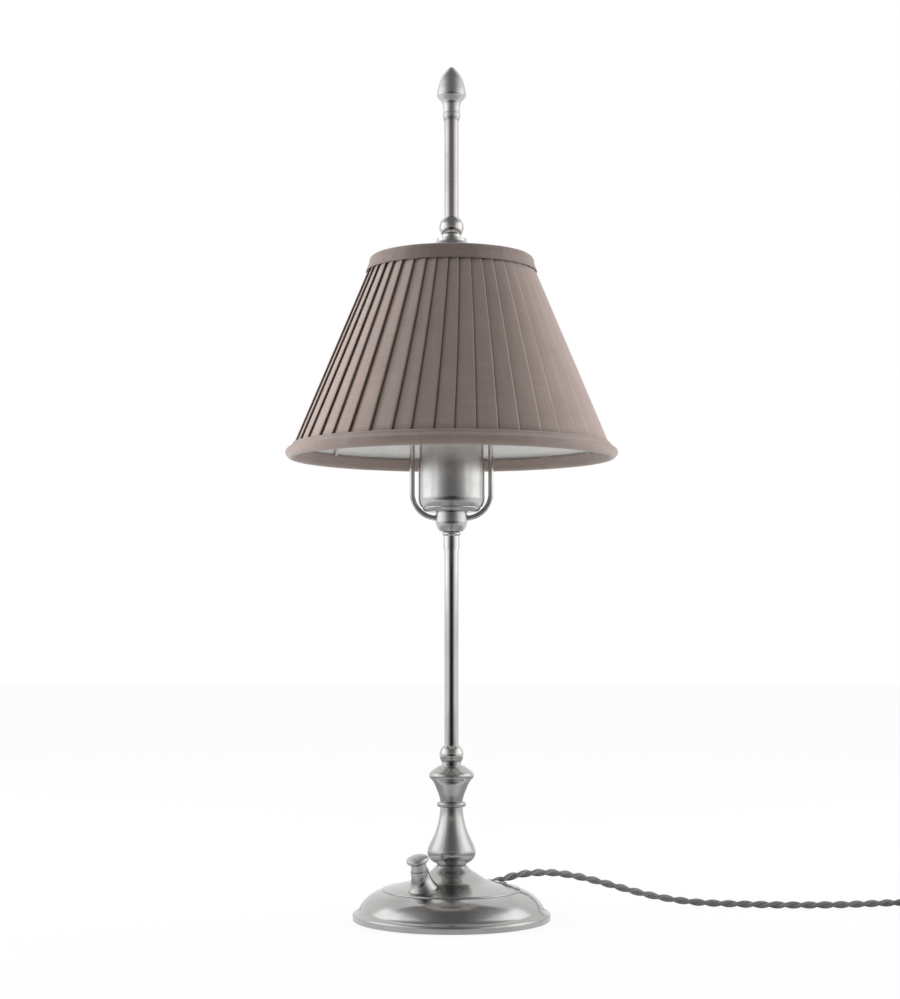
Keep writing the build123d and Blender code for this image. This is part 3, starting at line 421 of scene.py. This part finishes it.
# %% [markdown]
# The yarn cover is a fine braid: threads that cross at a slant, each a fraction of a millimetre wide. Waves on
# the strand's own UV map, round it and along it, cross in the same way, and lift a little bump.

# %% Cord finish
CORD_THREADS_ROUND = 7
CORD_THREADS_METRE = 900

cord_yarn, yarn_shader, yarn_uv = new_finish("cord_braid", "UV")
yarn_round = yarn_uv.part(1) * (CORD_THREADS_ROUND * math.tau)
yarn_along = yarn_uv.part(0) * (CORD_THREADS_METRE * cord_length * math.tau / 2)
one_way = yarn_along.math("SINE", yarn_along + yarn_round) * 0.5 + 0.5
other_way = yarn_along.math("SINE", yarn_along - yarn_round) * 0.5 + 0.5
braid = one_way.math("MAXIMUM", one_way, other_way)
yarn_fuzz = yarn_uv.grain(1.0, 2.0, (400, 4, 1))
yarn_tone = 0.55 * braid + 0.45 * yarn_fuzz
feed(yarn_shader, {
    "Base Color": yarn_tone.between(0.25, 0.95).tint((0.104, 0.101, 0.099), (0.235, 0.229, 0.222)),
    "Roughness": 0.85,
    "Sheen Weight": 0.25,
    "Sheen Roughness": 0.5,
    "Specular IOR Level": 0.25,
    "Normal": braid.bump(0.5, 0.15 * MM),
})
print("cord finish", cord_yarn.name)

# %% [markdown]
# Two strands wind round the cord's line like a rope. Each strand is a poly curve on points read from the NURBS
# line, moved aside by a turning offset, and given a round bevel. Made a mesh, the two are one piece.

# %% Twisted strands
CORD_LAY = 23.3 * MM
STRAND_RADIUS = 1.5 * MM
STRAND_OFFSET = 1.25 * MM

strand_data = bpy.data.curves.new("cord_strands", "CURVE")
strand_data.dimensions = "3D"
strand_data.bevel_depth = STRAND_RADIUS
strand_data.bevel_resolution = 3
strand_data.use_fill_caps = True
for strand in range(2):
    walked = 0.0
    yarn = strand_data.splines.new("POLY")
    yarn.points.add(len(cord_line) - 1)
    for index, spot in enumerate(cord_line):
        before = cord_line[max(index - 1, 0)]
        after = cord_line[min(index + 1, len(cord_line) - 1)]
        walked += (spot - before).length
        ahead = (after - before).normalized()
        aside = ahead.cross(Vector((0, 0, 1))).normalized()
        above = aside.cross(ahead)
        turn = math.tau * walked / CORD_LAY + math.pi * strand
        place = spot + STRAND_OFFSET * (math.cos(turn) * aside + math.sin(turn) * above)
        yarn.points[index].co = (*place, 1)
strands = bpy.data.objects.new("cord_strands", strand_data)
cord_mesh = bpy.data.meshes.new_from_object(strands)
cord_mesh.name = "mains_cord"
bpy.data.objects.remove(strands)
bpy.data.curves.remove(strand_data)
cord = bpy.data.objects.new("mains_cord", cord_mesh)
scene.collection.objects.link(cord)
cord_mesh.materials.clear()
cord_mesh.materials.append(cord_yarn)
cord_mesh.shade_smooth()
print("cord faces", len(cord_mesh.polygons))

# %% [markdown]
# Pieces that are turned or lie in a ring start as a short outline that is spun round Z. Each outline point
# keeps how far along the outline it is, so that the spun skin gets a UV map in metres, on which a weave has
# the same size everywhere. One helper makes an object of a finished mesh and lets it ride on a body.


# %% Helpers for new pieces
def new_piece(name, shape, body, material, sharp=40):
    """Make a lamp piece of a bmesh, with a finish, and let it ride on a body."""
    mesh = bpy.data.meshes.new(name)
    shape.to_mesh(mesh)
    shape.free()
    mesh.shade_smooth()
    mesh.set_sharp_from_angle(angle=math.radians(sharp))
    mesh.materials.append(material)
    piece = bpy.data.objects.new(name, mesh)
    scene.collection.objects.link(piece)
    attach(piece, body)
    print(name, "faces", len(mesh.polygons))
    return piece


def unroll(shape, along, mean_radius):
    """Give a ring-shaped skin a UV map in metres: round the lamp and along the outline."""
    chart = shape.loops.layers.uv.new("UVMap")
    for face in shape.faces:
        middle = face.calc_center_median()
        centre_azimuth = math.atan2(middle.y, middle.x)
        for corner in face.loops:
            spot = corner.vert.co
            swing = math.atan2(spot.y, spot.x) - centre_azimuth
            swing -= math.tau * round(swing / math.tau)
            corner[chart].uv = ((centre_azimuth + swing) * mean_radius, corner.vert[along])


def spun(outline, steps):
    """Spin an outline of (radius, height) points a full turn about Z."""
    shape = bmesh.new()
    along = shape.verts.layers.float.new("along")
    walked = 0.0
    chain = []
    for radius, height in outline:
        vertex = shape.verts.new((radius, 0, height))
        if chain:
            walked += (vertex.co - chain[-1].co).length
        vertex[along] = walked
        chain.append(vertex)
    edges = [shape.edges.new(pair) for pair in zip(chain, chain[1:])]
    bmesh.ops.spin(
        shape, geom=chain + edges, cent=(0, 0, 0), axis=(0, 0, 1), angle=math.tau, steps=steps, use_merge=True
    )
    bmesh.ops.remove_doubles(shape, verts=shape.verts, dist=0.001 * MM)
    bmesh.ops.recalc_face_normals(shape, faces=shape.faces)
    unroll(shape, along, sum(radius for radius, height in outline) / len(outline))
    return shape


def thicken(piece, thickness, offset):
    """Give a cloth skin its thickness."""
    wall = piece.modifiers.new("cloth_thickness", "SOLIDIFY")
    wall.thickness = thickness
    wall.offset = offset


print("helpers ready")

# %% [markdown]
# The shade's cloth is a plain taupe cotton. From near it shows fine warp and weft, a faint unevenness of dye
# and a soft sheen at the edges. The weave is two crossed waves on the UV map, half a millimetre apart. Inside
# the pleats the colour is darker as painted shade, by a value that the vertices of the cover carry.

# %% Woven finishes
def woven(name, dark, light, threads, thread_bump, uneven=0.5, sheen=0.3, crease=None):
    """A woven cloth with crossed threads, uneven dye and sheen, and painted shade for its creases if it has any.
    """
    material, shader, chart = new_finish(name, "UV")
    warp = chart.part(0).math("SINE", chart.part(0) * (threads * math.tau))
    weft = chart.part(1).math("SINE", chart.part(1) * (threads * math.tau))
    weave = warp * weft * 0.5 + 0.5
    slub_warp = chart.grain(1.0, 2.0, (threads * 0.45, 30, 1))
    slub_weft = chart.grain(1.0, 2.0, (30, threads * 0.45, 1))
    dye = chart.grain(38.0, 3.0)
    slub = 0.5 * slub_warp + 0.5 * slub_weft
    tone = 0.25 * weave + (0.75 - 0.5 * uneven) * slub + 0.5 * uneven * dye
    colour = tone.between(0.22, 0.80).tint(dark, light)
    # Painted shade: the crease attribute mixes a darker colour into the cloth inside the pleats.
    if crease:
        fold = chart.node("ShaderNodeAttribute", {"attribute_name": "crease"}, {}, output=2)
        mixed = {"Factor": fold, 6: colour, 7: (*crease, 1)}
        colour = fold.node("ShaderNodeMix", {"data_type": "RGBA"}, mixed, output=2)
    feed(shader, {
        "Base Color": colour,
        "Roughness": 0.9,
        "Specular IOR Level": 0.2,
        "Sheen Weight": sheen,
        "Sheen Roughness": 0.45,
        "Normal": (0.6 * weave + 0.4 * slub).bump(thread_bump, 0.12 * MM),
    })
    return material


# Its last colour is painted shade for the insides of the pleats.
shade_cotton = woven(
    "shade_cotton", (0.275, 0.217, 0.194), (0.390, 0.309, 0.279), 1700, 0.35, crease=(0.125, 0.093, 0.080)
)
# The bindings are the same cotton in darker copies: painted shade, deepest on the top band.
shaded_trim_cotton = woven("shaded_trim_cotton", (0.238, 0.189, 0.169), (0.340, 0.272, 0.245), 1700, 0.35)
shaded_band_cotton = woven("shaded_band_cotton", (0.188, 0.147, 0.132), (0.275, 0.218, 0.197), 1700, 0.35)
lining_cotton = woven("lining_cotton", (0.82, 0.815, 0.80), (0.93, 0.925, 0.91), 1900, 0.25, sheen=0.1)
tie_webbing = woven("tie_webbing", (0.020, 0.020, 0.021), (0.060, 0.060, 0.062), 900, 0.7)
print("woven finishes ready")

# %% [markdown]
# The shade is a cone between two wire rings. Knife pleats run down it: each is a flat panel whose edge lies
# over the start of the next one, so a thin shadow shows where the camera looks into the fold. A ring of
# vertices is bent to one row of pleats, and extruded up the cone row by row. Every vertex keeps its azimuth
# and its depth, so each new row can be set on the cone, with small differences between the pleats. Those in
# front are a little wider than those at the back.

# %% Pleated cover
RING_TOP = 461.78 * MM
RING_LOW = 327.38 * MM
FOLD_AT_TOP = 56.592 * MM
SLOPE = 0.4235
SLANT = math.cos(math.atan(SLOPE))
PLEATS = 48
PLEAT_STEP = 1.5 * MM
PLEAT_PHASES = (0.0, 0.05, 0.12, 0.24, 0.46, 0.68, 0.86, 0.910, 0.950, 0.974, 0.978, 0.955, 0.90, 0.86)
PLEAT_DEPTHS = (1.15, 1.12, 1.04, 0.86, 0.55, 0.28, 0.06, 0.02, 0.10, 0.28, 0.52, 0.78, 0.98, 1.15)
# Painted shade: how much of the darker crease colour each outline point of a pleat takes.
PLEAT_PAINTED_SHADE = (0.90, 0.35, 0.0, 0.0, 0.0, 0.0, 0.0, 0.0, 0.12, 0.55, 0.85, 1.0, 1.0, 1.0)
PLEAT_START = math.radians(2.9)
PLEAT_LEAN = math.radians(4.3)
LEAN_PIVOT = 0.4
FRONT_PLEAT = 20
FRONT_SHIFTS = (
    -0.45, -0.80, -1.10, -1.30, -1.25, -0.95, -0.55, -0.45, -0.28, -0.28, -0.23, -0.05, 0.08, 0.0, 0.03,
    -0.04, -0.03, 0.01, 0.07, 0.22, 0.30, 0.45, 0.60, 0.72, 0.75, 0.62, 0.42, 0.20,
)
COVER_TUCK = 4.0 * MM
COVER_ROWS = 15


def fold_radius(height):
    """Radius of the pleats' outer folds at a height."""
    return FOLD_AT_TOP + SLOPE * (RING_TOP - height)


rng = random.Random(7)
pleat_shift = [rng.uniform(-0.10, 0.10) for pleat in range(PLEATS)]
pleat_shift[FRONT_PLEAT:FRONT_PLEAT + len(FRONT_SHIFTS)] = FRONT_SHIFTS
pleat_lift = [rng.uniform(0.80, 1.00) for pleat in range(PLEATS)]
pleat_bow = [rng.uniform(-0.03, 0.03) for pleat in range(PLEATS)]


def fold_shift(pleat, rise):
    """How far a pleat's edge strays from its even place, in pleats."""
    return pleat_shift[pleat] + math.sin(math.pi * rise) * pleat_bow[pleat]


def pleat_place(pleat, phase, depth, rise):
    """Point of a pleat, rise going from 0 at the hem to 1 at the top band."""
    height = RING_LOW + COVER_TUCK + rise * (RING_TOP - RING_LOW - 2 * COVER_TUCK)
    begin = pleat + fold_shift(pleat - 1, rise)
    end = pleat + 1 + fold_shift(pleat, rise)
    turn = (begin + phase * (end - begin)) * math.tau / PLEATS
    turn += PLEAT_START + PLEAT_LEAN * (rise - LEAN_PIVOT)
    sunk = PLEAT_STEP * (depth - 0.2) * pleat_lift[pleat] + 0.2 * PLEAT_STEP
    radius = fold_radius(height) - sunk / SLANT
    return Vector((radius * math.cos(turn), radius * math.sin(turn), height))


cover_shape = bmesh.new()
cover_pleat = cover_shape.verts.layers.int.new("pleat")
cover_point = cover_shape.verts.layers.int.new("point")
cover_along = cover_shape.verts.layers.float.new("along")
cover_painted_shade = cover_shape.verts.layers.float.new("crease")
points_per_pleat = len(PLEAT_PHASES)
ring = bmesh.ops.create_circle(cover_shape, cap_ends=False, radius=0.1, segments=PLEATS * points_per_pleat)
for index, vertex in enumerate(ring["verts"]):
    vertex[cover_pleat], vertex[cover_point] = divmod(index, points_per_pleat)
front_edges = list(cover_shape.edges)
front_verts = list(cover_shape.verts)
for row in range(COVER_ROWS + 1):
    if row:
        grown = bmesh.ops.extrude_edge_only(cover_shape, edges=front_edges)["geom"]
        front_edges = [item for item in grown if isinstance(item, bmesh.types.BMEdge)]
        front_verts = [item for item in grown if isinstance(item, bmesh.types.BMVert)]
        front_edges = [edge for edge in front_edges if all(v in set(front_verts) for v in edge.verts)]
    for vertex in front_verts:
        phase = PLEAT_PHASES[vertex[cover_point]]
        depth = PLEAT_DEPTHS[vertex[cover_point]]
        rise = row / COVER_ROWS
        vertex.co = pleat_place(vertex[cover_pleat], phase, depth, rise)
        vertex[cover_along] = rise * (RING_TOP - RING_LOW) / SLANT
        vertex[cover_painted_shade] = PLEAT_PAINTED_SHADE[vertex[cover_point]]
bmesh.ops.recalc_face_normals(cover_shape, faces=cover_shape.faces)
unroll(cover_shape, cover_along, fold_radius((RING_TOP + RING_LOW) / 2))
cover = new_piece("pleated_cover", cover_shape, "shade", shade_cotton, sharp=60)
thicken(cover, 0.2 * MM, -1.0)
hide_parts("shade_cover")

# %% [markdown]
# Inside the pleats lies a smooth white lining, which throws the bulb's light down. It is one skin of the same
# cone, a little further in, spun from a straight line.

# %% Lining
LINING_DEPTH = 2.10 * MM
LINING_TUCK = 2.2 * MM
LINING_ROWS = 10
lining_outline = []
for row in range(LINING_ROWS + 1):
    height = RING_LOW + LINING_TUCK + (RING_TOP - RING_LOW - 2 * LINING_TUCK) * row / LINING_ROWS
    lining_outline.append((fold_radius(height) - LINING_DEPTH / SLANT, height))
lining = new_piece("shade_lining_cloth", spun(lining_outline, 176), "shade", lining_cotton)
thicken(lining, 0.3 * MM, 0.0)
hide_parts("shade_lining")

# %% [markdown]
# The raw edges are bound with strips of the same cotton, folded over the wire rings; their colours are darker
# copies of the shade's cotton, painted shade, darkest on the top band. The outline of a binding goes down an
# outer wall, round an oval roll, up an inner wall and over to the lining. The hem's roll is fat, stands out
# from the cone and hides the ends of the struts. Hand-folded cloth isn't even, so slow noise moves its skin
# in and out by a few tenths of a millimetre, and short creases run across the roll.

# %% Hem and top band
WIRE_DEPTH = 3.4 * MM
ROLL_STEPS = 14
ROLL_START = math.radians(-36)
ROLL_END = math.radians(198)
WALL_STEPS = 5
WALL_STANDS_OUT = 0.55 * MM
LINING_SKIN = 0.15 * MM
LEDGE_RISE = 0.8 * MM
RIPPLE = 0.35 * MM
CREASE = 0.30 * MM
BINDING_STEPS = 260


def binding(ring_height, way, outer_wall, inner_wall, inner_end, roll_centre, roll_size):
    """Skin of a cloth strip folded over a wire ring, its walls going up (way 1) or down (way -1)."""
    ring_radius = fold_radius(ring_height) - WIRE_DEPTH / SLANT
    lean = math.sin(math.atan(SLOPE))
    wall_out = WIRE_DEPTH + WALL_STANDS_OUT
    roll = []
    for step in range(ROLL_STEPS + 1):
        turn = ROLL_START + (ROLL_END - ROLL_START) * step / ROLL_STEPS
        roll.append((
            roll_centre[0] + roll_size[0] * math.cos(turn), roll_centre[1] - roll_size[1] * math.sin(turn)
        ))
    flat = []
    for step in range(WALL_STEPS):
        share = step / WALL_STEPS
        flat.append((
            wall_out + (roll[0][0] - wall_out) * share ** 2, outer_wall + (roll[0][1] - outer_wall) * share
        ))
    flat += roll
    for step in range(1, WALL_STEPS + 1):
        share = step / WALL_STEPS
        flat.append((
            roll[-1][0] + (inner_end - roll[-1][0]) * share, roll[-1][1] + (inner_wall - roll[-1][1]) * share
        ))
    flat.append((WIRE_DEPTH - LINING_DEPTH - LINING_SKIN, inner_wall + LEDGE_RISE))
    outline = []
    for out, up in flat:
        radius = ring_radius + out * SLANT - way * up * lean
        outline.append((radius, ring_height + out * lean + way * up * SLANT))
    shape = spun(outline, BINDING_STEPS)
    for vertex in shape.verts:
        away = Vector((vertex.co.x, vertex.co.y, 0)).normalized()
        ripple = noise.noise(vertex.co * 85) + 0.5 * noise.noise(vertex.co * 210)
        crease = noise.noise(Vector((vertex.co.x * 260, vertex.co.y * 260, vertex.co.z * 90)))
        vertex.co += away * (ripple * RIPPLE - max(crease - 0.25, 0) * CREASE)
    return shape


hem_shape = binding(
    RING_LOW, 1, 6.0 * MM, 5.2 * MM, inner_end=-1.25 * MM,
    roll_centre=(2.5 * MM, -0.6 * MM), roll_size=(4.1 * MM, 3.3 * MM),
)
hem = new_piece("hem_binding", hem_shape, "shade", shaded_trim_cotton)
band_shape = binding(
    RING_TOP, -1, 8.6 * MM, 5.0 * MM, inner_end=0.75 * MM,
    roll_centre=(1.7 * MM, 0.0), roll_size=(3.2 * MM, 3.2 * MM),
)
band = new_piece("top_binding", band_shape, "shade", shaded_band_cotton)
for strip, node in ((hem, "shade_hem"), (band, "shade_top_band")):
    thicken(strip, 0.6 * MM, 0.0)
    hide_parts(node)
print("bindings ready")

# %% [markdown]
# Under the base a felt disc keeps the table from scratches. It is spun from its half outline, with soft
# edges, and its finish is matted fibre: two noises, one long and one short.

# %% Felt pad
FELT_RADIUS = 67.0 * MM
FELT_THICKNESS = 1.5 * MM
FELT_EDGE = 0.5 * MM
felt_wool, felt_shader, felt_place = new_finish("felt_wool")
felt_fibre = felt_place.grain(2600.0, 4.0)
felt_mat = felt_place.grain(240.0, 3.0)
felt_tone = 0.6 * felt_fibre + 0.4 * felt_mat
feed(felt_shader, {
    "Base Color": felt_tone.between(0.3, 0.7).tint((0.03, 0.05, 0.035), (0.09, 0.14, 0.10)),
    "Roughness": 0.95,
    "Sheen Weight": 0.4,
    "Specular IOR Level": 0.1,
    "Normal": felt_fibre.bump(0.8, 0.2 * MM),
})
felt_outline = [
    (0, 0), (FELT_RADIUS / 2, 0), (FELT_RADIUS - FELT_EDGE, 0), (FELT_RADIUS, FELT_EDGE),
    (FELT_RADIUS, FELT_THICKNESS - FELT_EDGE), (FELT_RADIUS - FELT_EDGE, FELT_THICKNESS),
    (FELT_RADIUS / 2, FELT_THICKNESS), (0, FELT_THICKNESS),
]
felt = new_piece("felt_disc", spun(felt_outline, 128), "lamp_body", felt_wool)
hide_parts("felt_pad")

# %% [markdown]
# A woven strap holds the coil together. It starts as a rectangle with rounded corners, the strap's loop seen
# from its edge, which is extruded to the strap's width and thickened.

# %% Tie
TIE_AZIMUTH = math.radians(225)
TIE_WIDTH = 12.0 * MM
TIE_INNER = 17.96 * MM
TIE_OUTER = 46.9 * MM
TIE_LOW = 0.9 * MM
TIE_HIGH = 12.8 * MM
TIE_CORNER = 2.7 * MM
TIE_THICKNESS = 0.9 * MM
tie_shape = bmesh.new()
tie_corners = [
    tie_shape.verts.new((x, y, 0))
    for x, y in ((TIE_INNER, TIE_LOW), (TIE_OUTER, TIE_LOW), (TIE_OUTER, TIE_HIGH), (TIE_INNER, TIE_HIGH))
]
tie_shape.faces.new(tie_corners)
bmesh.ops.bevel(
    tie_shape, geom=tie_corners, offset=TIE_CORNER, affect="VERTICES", segments=5, profile=0.5, material=-1
)
bmesh.ops.delete(tie_shape, geom=list(tie_shape.faces), context="FACES_ONLY")
bmesh.ops.translate(tie_shape, verts=tie_shape.verts, vec=(0, 0, -TIE_WIDTH / 2))
tie_grown = bmesh.ops.extrude_edge_only(tie_shape, edges=list(tie_shape.edges))["geom"]
tie_moved = [item for item in tie_grown if isinstance(item, bmesh.types.BMVert)]
bmesh.ops.translate(tie_shape, verts=tie_moved, vec=(0, 0, TIE_WIDTH))
bmesh.ops.recalc_face_normals(tie_shape, faces=tie_shape.faces)
tie_chart = tie_shape.loops.layers.uv.new("UVMap")
for face in tie_shape.faces:
    for corner in face.loops:
        spot = corner.vert.co
        corner[tie_chart].uv = (spot.x + spot.y, spot.z)
for vertex in tie_shape.verts:
    out, up, across = vertex.co
    vertex.co = (
        COIL_CENTRE[0] * MM + out * math.cos(TIE_AZIMUTH) - across * math.sin(TIE_AZIMUTH),
        COIL_CENTRE[1] * MM + out * math.sin(TIE_AZIMUTH) + across * math.cos(TIE_AZIMUTH),
        up,
    )
tie = new_piece("cord_strap", tie_shape, "lamp_body", tie_webbing)
thicken(tie, TIE_THICKNESS, 1.0)
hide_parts("cord_tie")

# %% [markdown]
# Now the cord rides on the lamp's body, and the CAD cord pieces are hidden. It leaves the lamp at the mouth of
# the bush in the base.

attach(cord, "lamp_body")
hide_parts("cord_lead", "cord_coil")

# %% [markdown]
# The turned parts are brass with a nickel plate that has been polished by hand for years. Such metal isn't
# one flat mirror: there are faint clouds where it has dulled, rings left by the lathe and small specks. Noise
# drives its colour and its roughness, and noise that is stretched flat gives the rings.

# %% Metal finishes
def nickel(name, bright, dull, gloss, haze, rings):
    """Polished or dulled nickel with clouds, specks and lathe rings."""
    material, shader, place = new_finish(name)
    cloud = place.grain(42.0, 4.0)
    speck = place.grain(900.0, 2.0)
    lathe = place.grain(1.0, 2.0, (25, 25, 2600))
    patch = (0.75 * cloud + 0.25 * speck).between(0.38, 0.72)
    feed(shader, {
        "Base Color": patch.tint(bright, dull),
        "Metallic": 1.0,
        "Roughness": gloss + haze * patch + 0.25 * haze * lathe,
        "Normal": lathe.bump(rings, 0.02 * MM),
    })
    return material


polished_nickel = nickel("polished_nickel", (0.585, 0.575, 0.562), (0.47, 0.46, 0.448), 0.075, 0.09, 0.10)
brushed_nickel = nickel("brushed_nickel", (0.46, 0.455, 0.448), (0.385, 0.38, 0.373), 0.14, 0.07, 0.12)
turned_nickel = nickel("turned_nickel", (0.485, 0.48, 0.473), (0.41, 0.405, 0.398), 0.17, 0.08, 0.12)
holder_nickel = nickel("holder_nickel", (0.54, 0.535, 0.528), (0.46, 0.455, 0.448), 0.20, 0.08, 0.12)
satin_nickel = nickel("satin_nickel", (0.62, 0.615, 0.605), (0.50, 0.495, 0.49), 0.26, 0.14, 0.20)
button_nickel = nickel("button_nickel", (0.60, 0.595, 0.59), (0.48, 0.475, 0.47), 0.34, 0.12, 0.20)
# Painted reflection: a pink-brown tint that stands in for the shade mirrored in the upper rod.
nickel_with_painted_reflection = nickel("nickel_with_painted_reflection", (0.54, 0.495, 0.497), (0.44, 0.40, 0.40), 0.22, 0.10, 0.10)


def plain_metal(name, colour, stain, gloss, haze):
    """Bare or plated metal with stains and a fine grain."""
    material, shader, place = new_finish(name)
    patch = (0.6 * place.grain(130.0, 4.0) + 0.4 * place.grain(1500.0, 2.0)).between(0.35, 0.70)
    feed(shader, {
        "Base Color": patch.tint(colour, stain),
        "Metallic": 1.0,
        "Roughness": gloss + haze * patch,
        "Normal": place.grain(1800.0, 2.0).bump(0.15, 0.03 * MM),
    })
    return material


zinc_steel = plain_metal("zinc_steel", (0.60, 0.60, 0.59), (0.42, 0.41, 0.38), 0.25, 0.2)
contact_brass = plain_metal("contact_brass", (0.80, 0.62, 0.32), (0.55, 0.38, 0.18), 0.18, 0.2)
cast_iron = plain_metal("cast_iron", (0.17, 0.17, 0.18), (0.09, 0.08, 0.075), 0.55, 0.25)
print("metal finishes ready")

# %% [markdown]
# The rest is small: white coated frame wire, a dark moulded plug, a porcelain insert, opal glass and wire
# sleeves. Each still has its own grain, because a flat colour looks like no material at all.

# %% Moulded, glazed and coated finishes
def moulded(name, dark, light, gloss, haze, bump, blots=90.0, coat=0.0):
    """A moulded, glazed or coated surface with faint blots and a fine skin."""
    material, shader, place = new_finish(name)
    blot = (0.7 * place.grain(blots, 3.0) + 0.3 * place.grain(1400.0, 2.0)).between(0.3, 0.7)
    feed(shader, {
        "Base Color": blot.tint(dark, light),
        "Roughness": gloss + haze * blot,
        "Coat Weight": coat,
        "Normal": place.grain(900.0, 3.0).bump(bump, 0.05 * MM),
    })
    return material, shader


frame_coating, _ = moulded("frame_coating", (0.72, 0.71, 0.68), (0.84, 0.83, 0.80), 0.45, 0.2, 0.25)
plug_plastic, _ = moulded("plug_plastic", (0.022, 0.018, 0.016), (0.045, 0.037, 0.032), 0.22, 0.18, 0.15)
switch_plastic, _ = moulded("switch_plastic", (0.018, 0.018, 0.018), (0.040, 0.040, 0.040), 0.5, 0.2, 0.3)
wire_sleeve, _ = moulded("wire_sleeve", (0.42, 0.38, 0.31), (0.60, 0.55, 0.46), 0.45, 0.2, 0.2)
porcelain, _ = moulded("porcelain", (0.80, 0.79, 0.76), (0.88, 0.87, 0.84), 0.12, 0.1, 0.08, coat=0.5)
opal_glass, opal_shader = moulded(
    "opal_glass", (0.84, 0.84, 0.82), (0.90, 0.90, 0.88), 0.08, 0.06, 0.03, coat=0.6
)
feed(opal_shader, {"Transmission Weight": 0.25, "IOR": 1.5})
print("moulded finishes ready")

# %% [markdown]
# Each solid that still shows takes its finish by name. The acorn and the push button are duller than the rest
# in the photograph, so they have finishes of their own. The upper rod has a pink-brown tint, a painted
# reflection of the shade above it.

# %% Finish the solids
finish_of_slot = {
    "nickel": polished_nickel, "iron": cast_iron, "zinc_steel": zinc_steel, "black_plastic": switch_plastic,
    "wire_sleeve": wire_sleeve, "porcelain": porcelain, "contact_brass": contact_brass, "bulb_glass": opal_glass,
    "frame_wire": frame_coating, "plug_plastic": plug_plastic, "felt": felt_wool, "shade_cloth": shade_cotton,
    "lining_cloth": lining_cotton, "trim_cloth": shaded_trim_cotton, "cord_braid": cord_yarn, "tie_strap": tie_webbing,
}
own_finish = {
    "acorn_finial": satin_nickel, "switch_button": button_nickel, "upper_rod": nickel_with_painted_reflection,
    "base_shell": brushed_nickel, "baluster": turned_nickel, "switch_bezel": brushed_nickel,
    "lampholder_cap": holder_nickel, "lampholder_shell": holder_nickel, "harp_hub": holder_nickel,
}
for part in frame["record"]["subparts"]:
    name = part["node"]
    paint = own_finish.get(name, finish_of_slot[part["material_slot"]])
    skin = nodes[name].data.materials
    if not skin:
        skin.append(paint)
    for index in range(len(skin)):
        skin[index] = paint
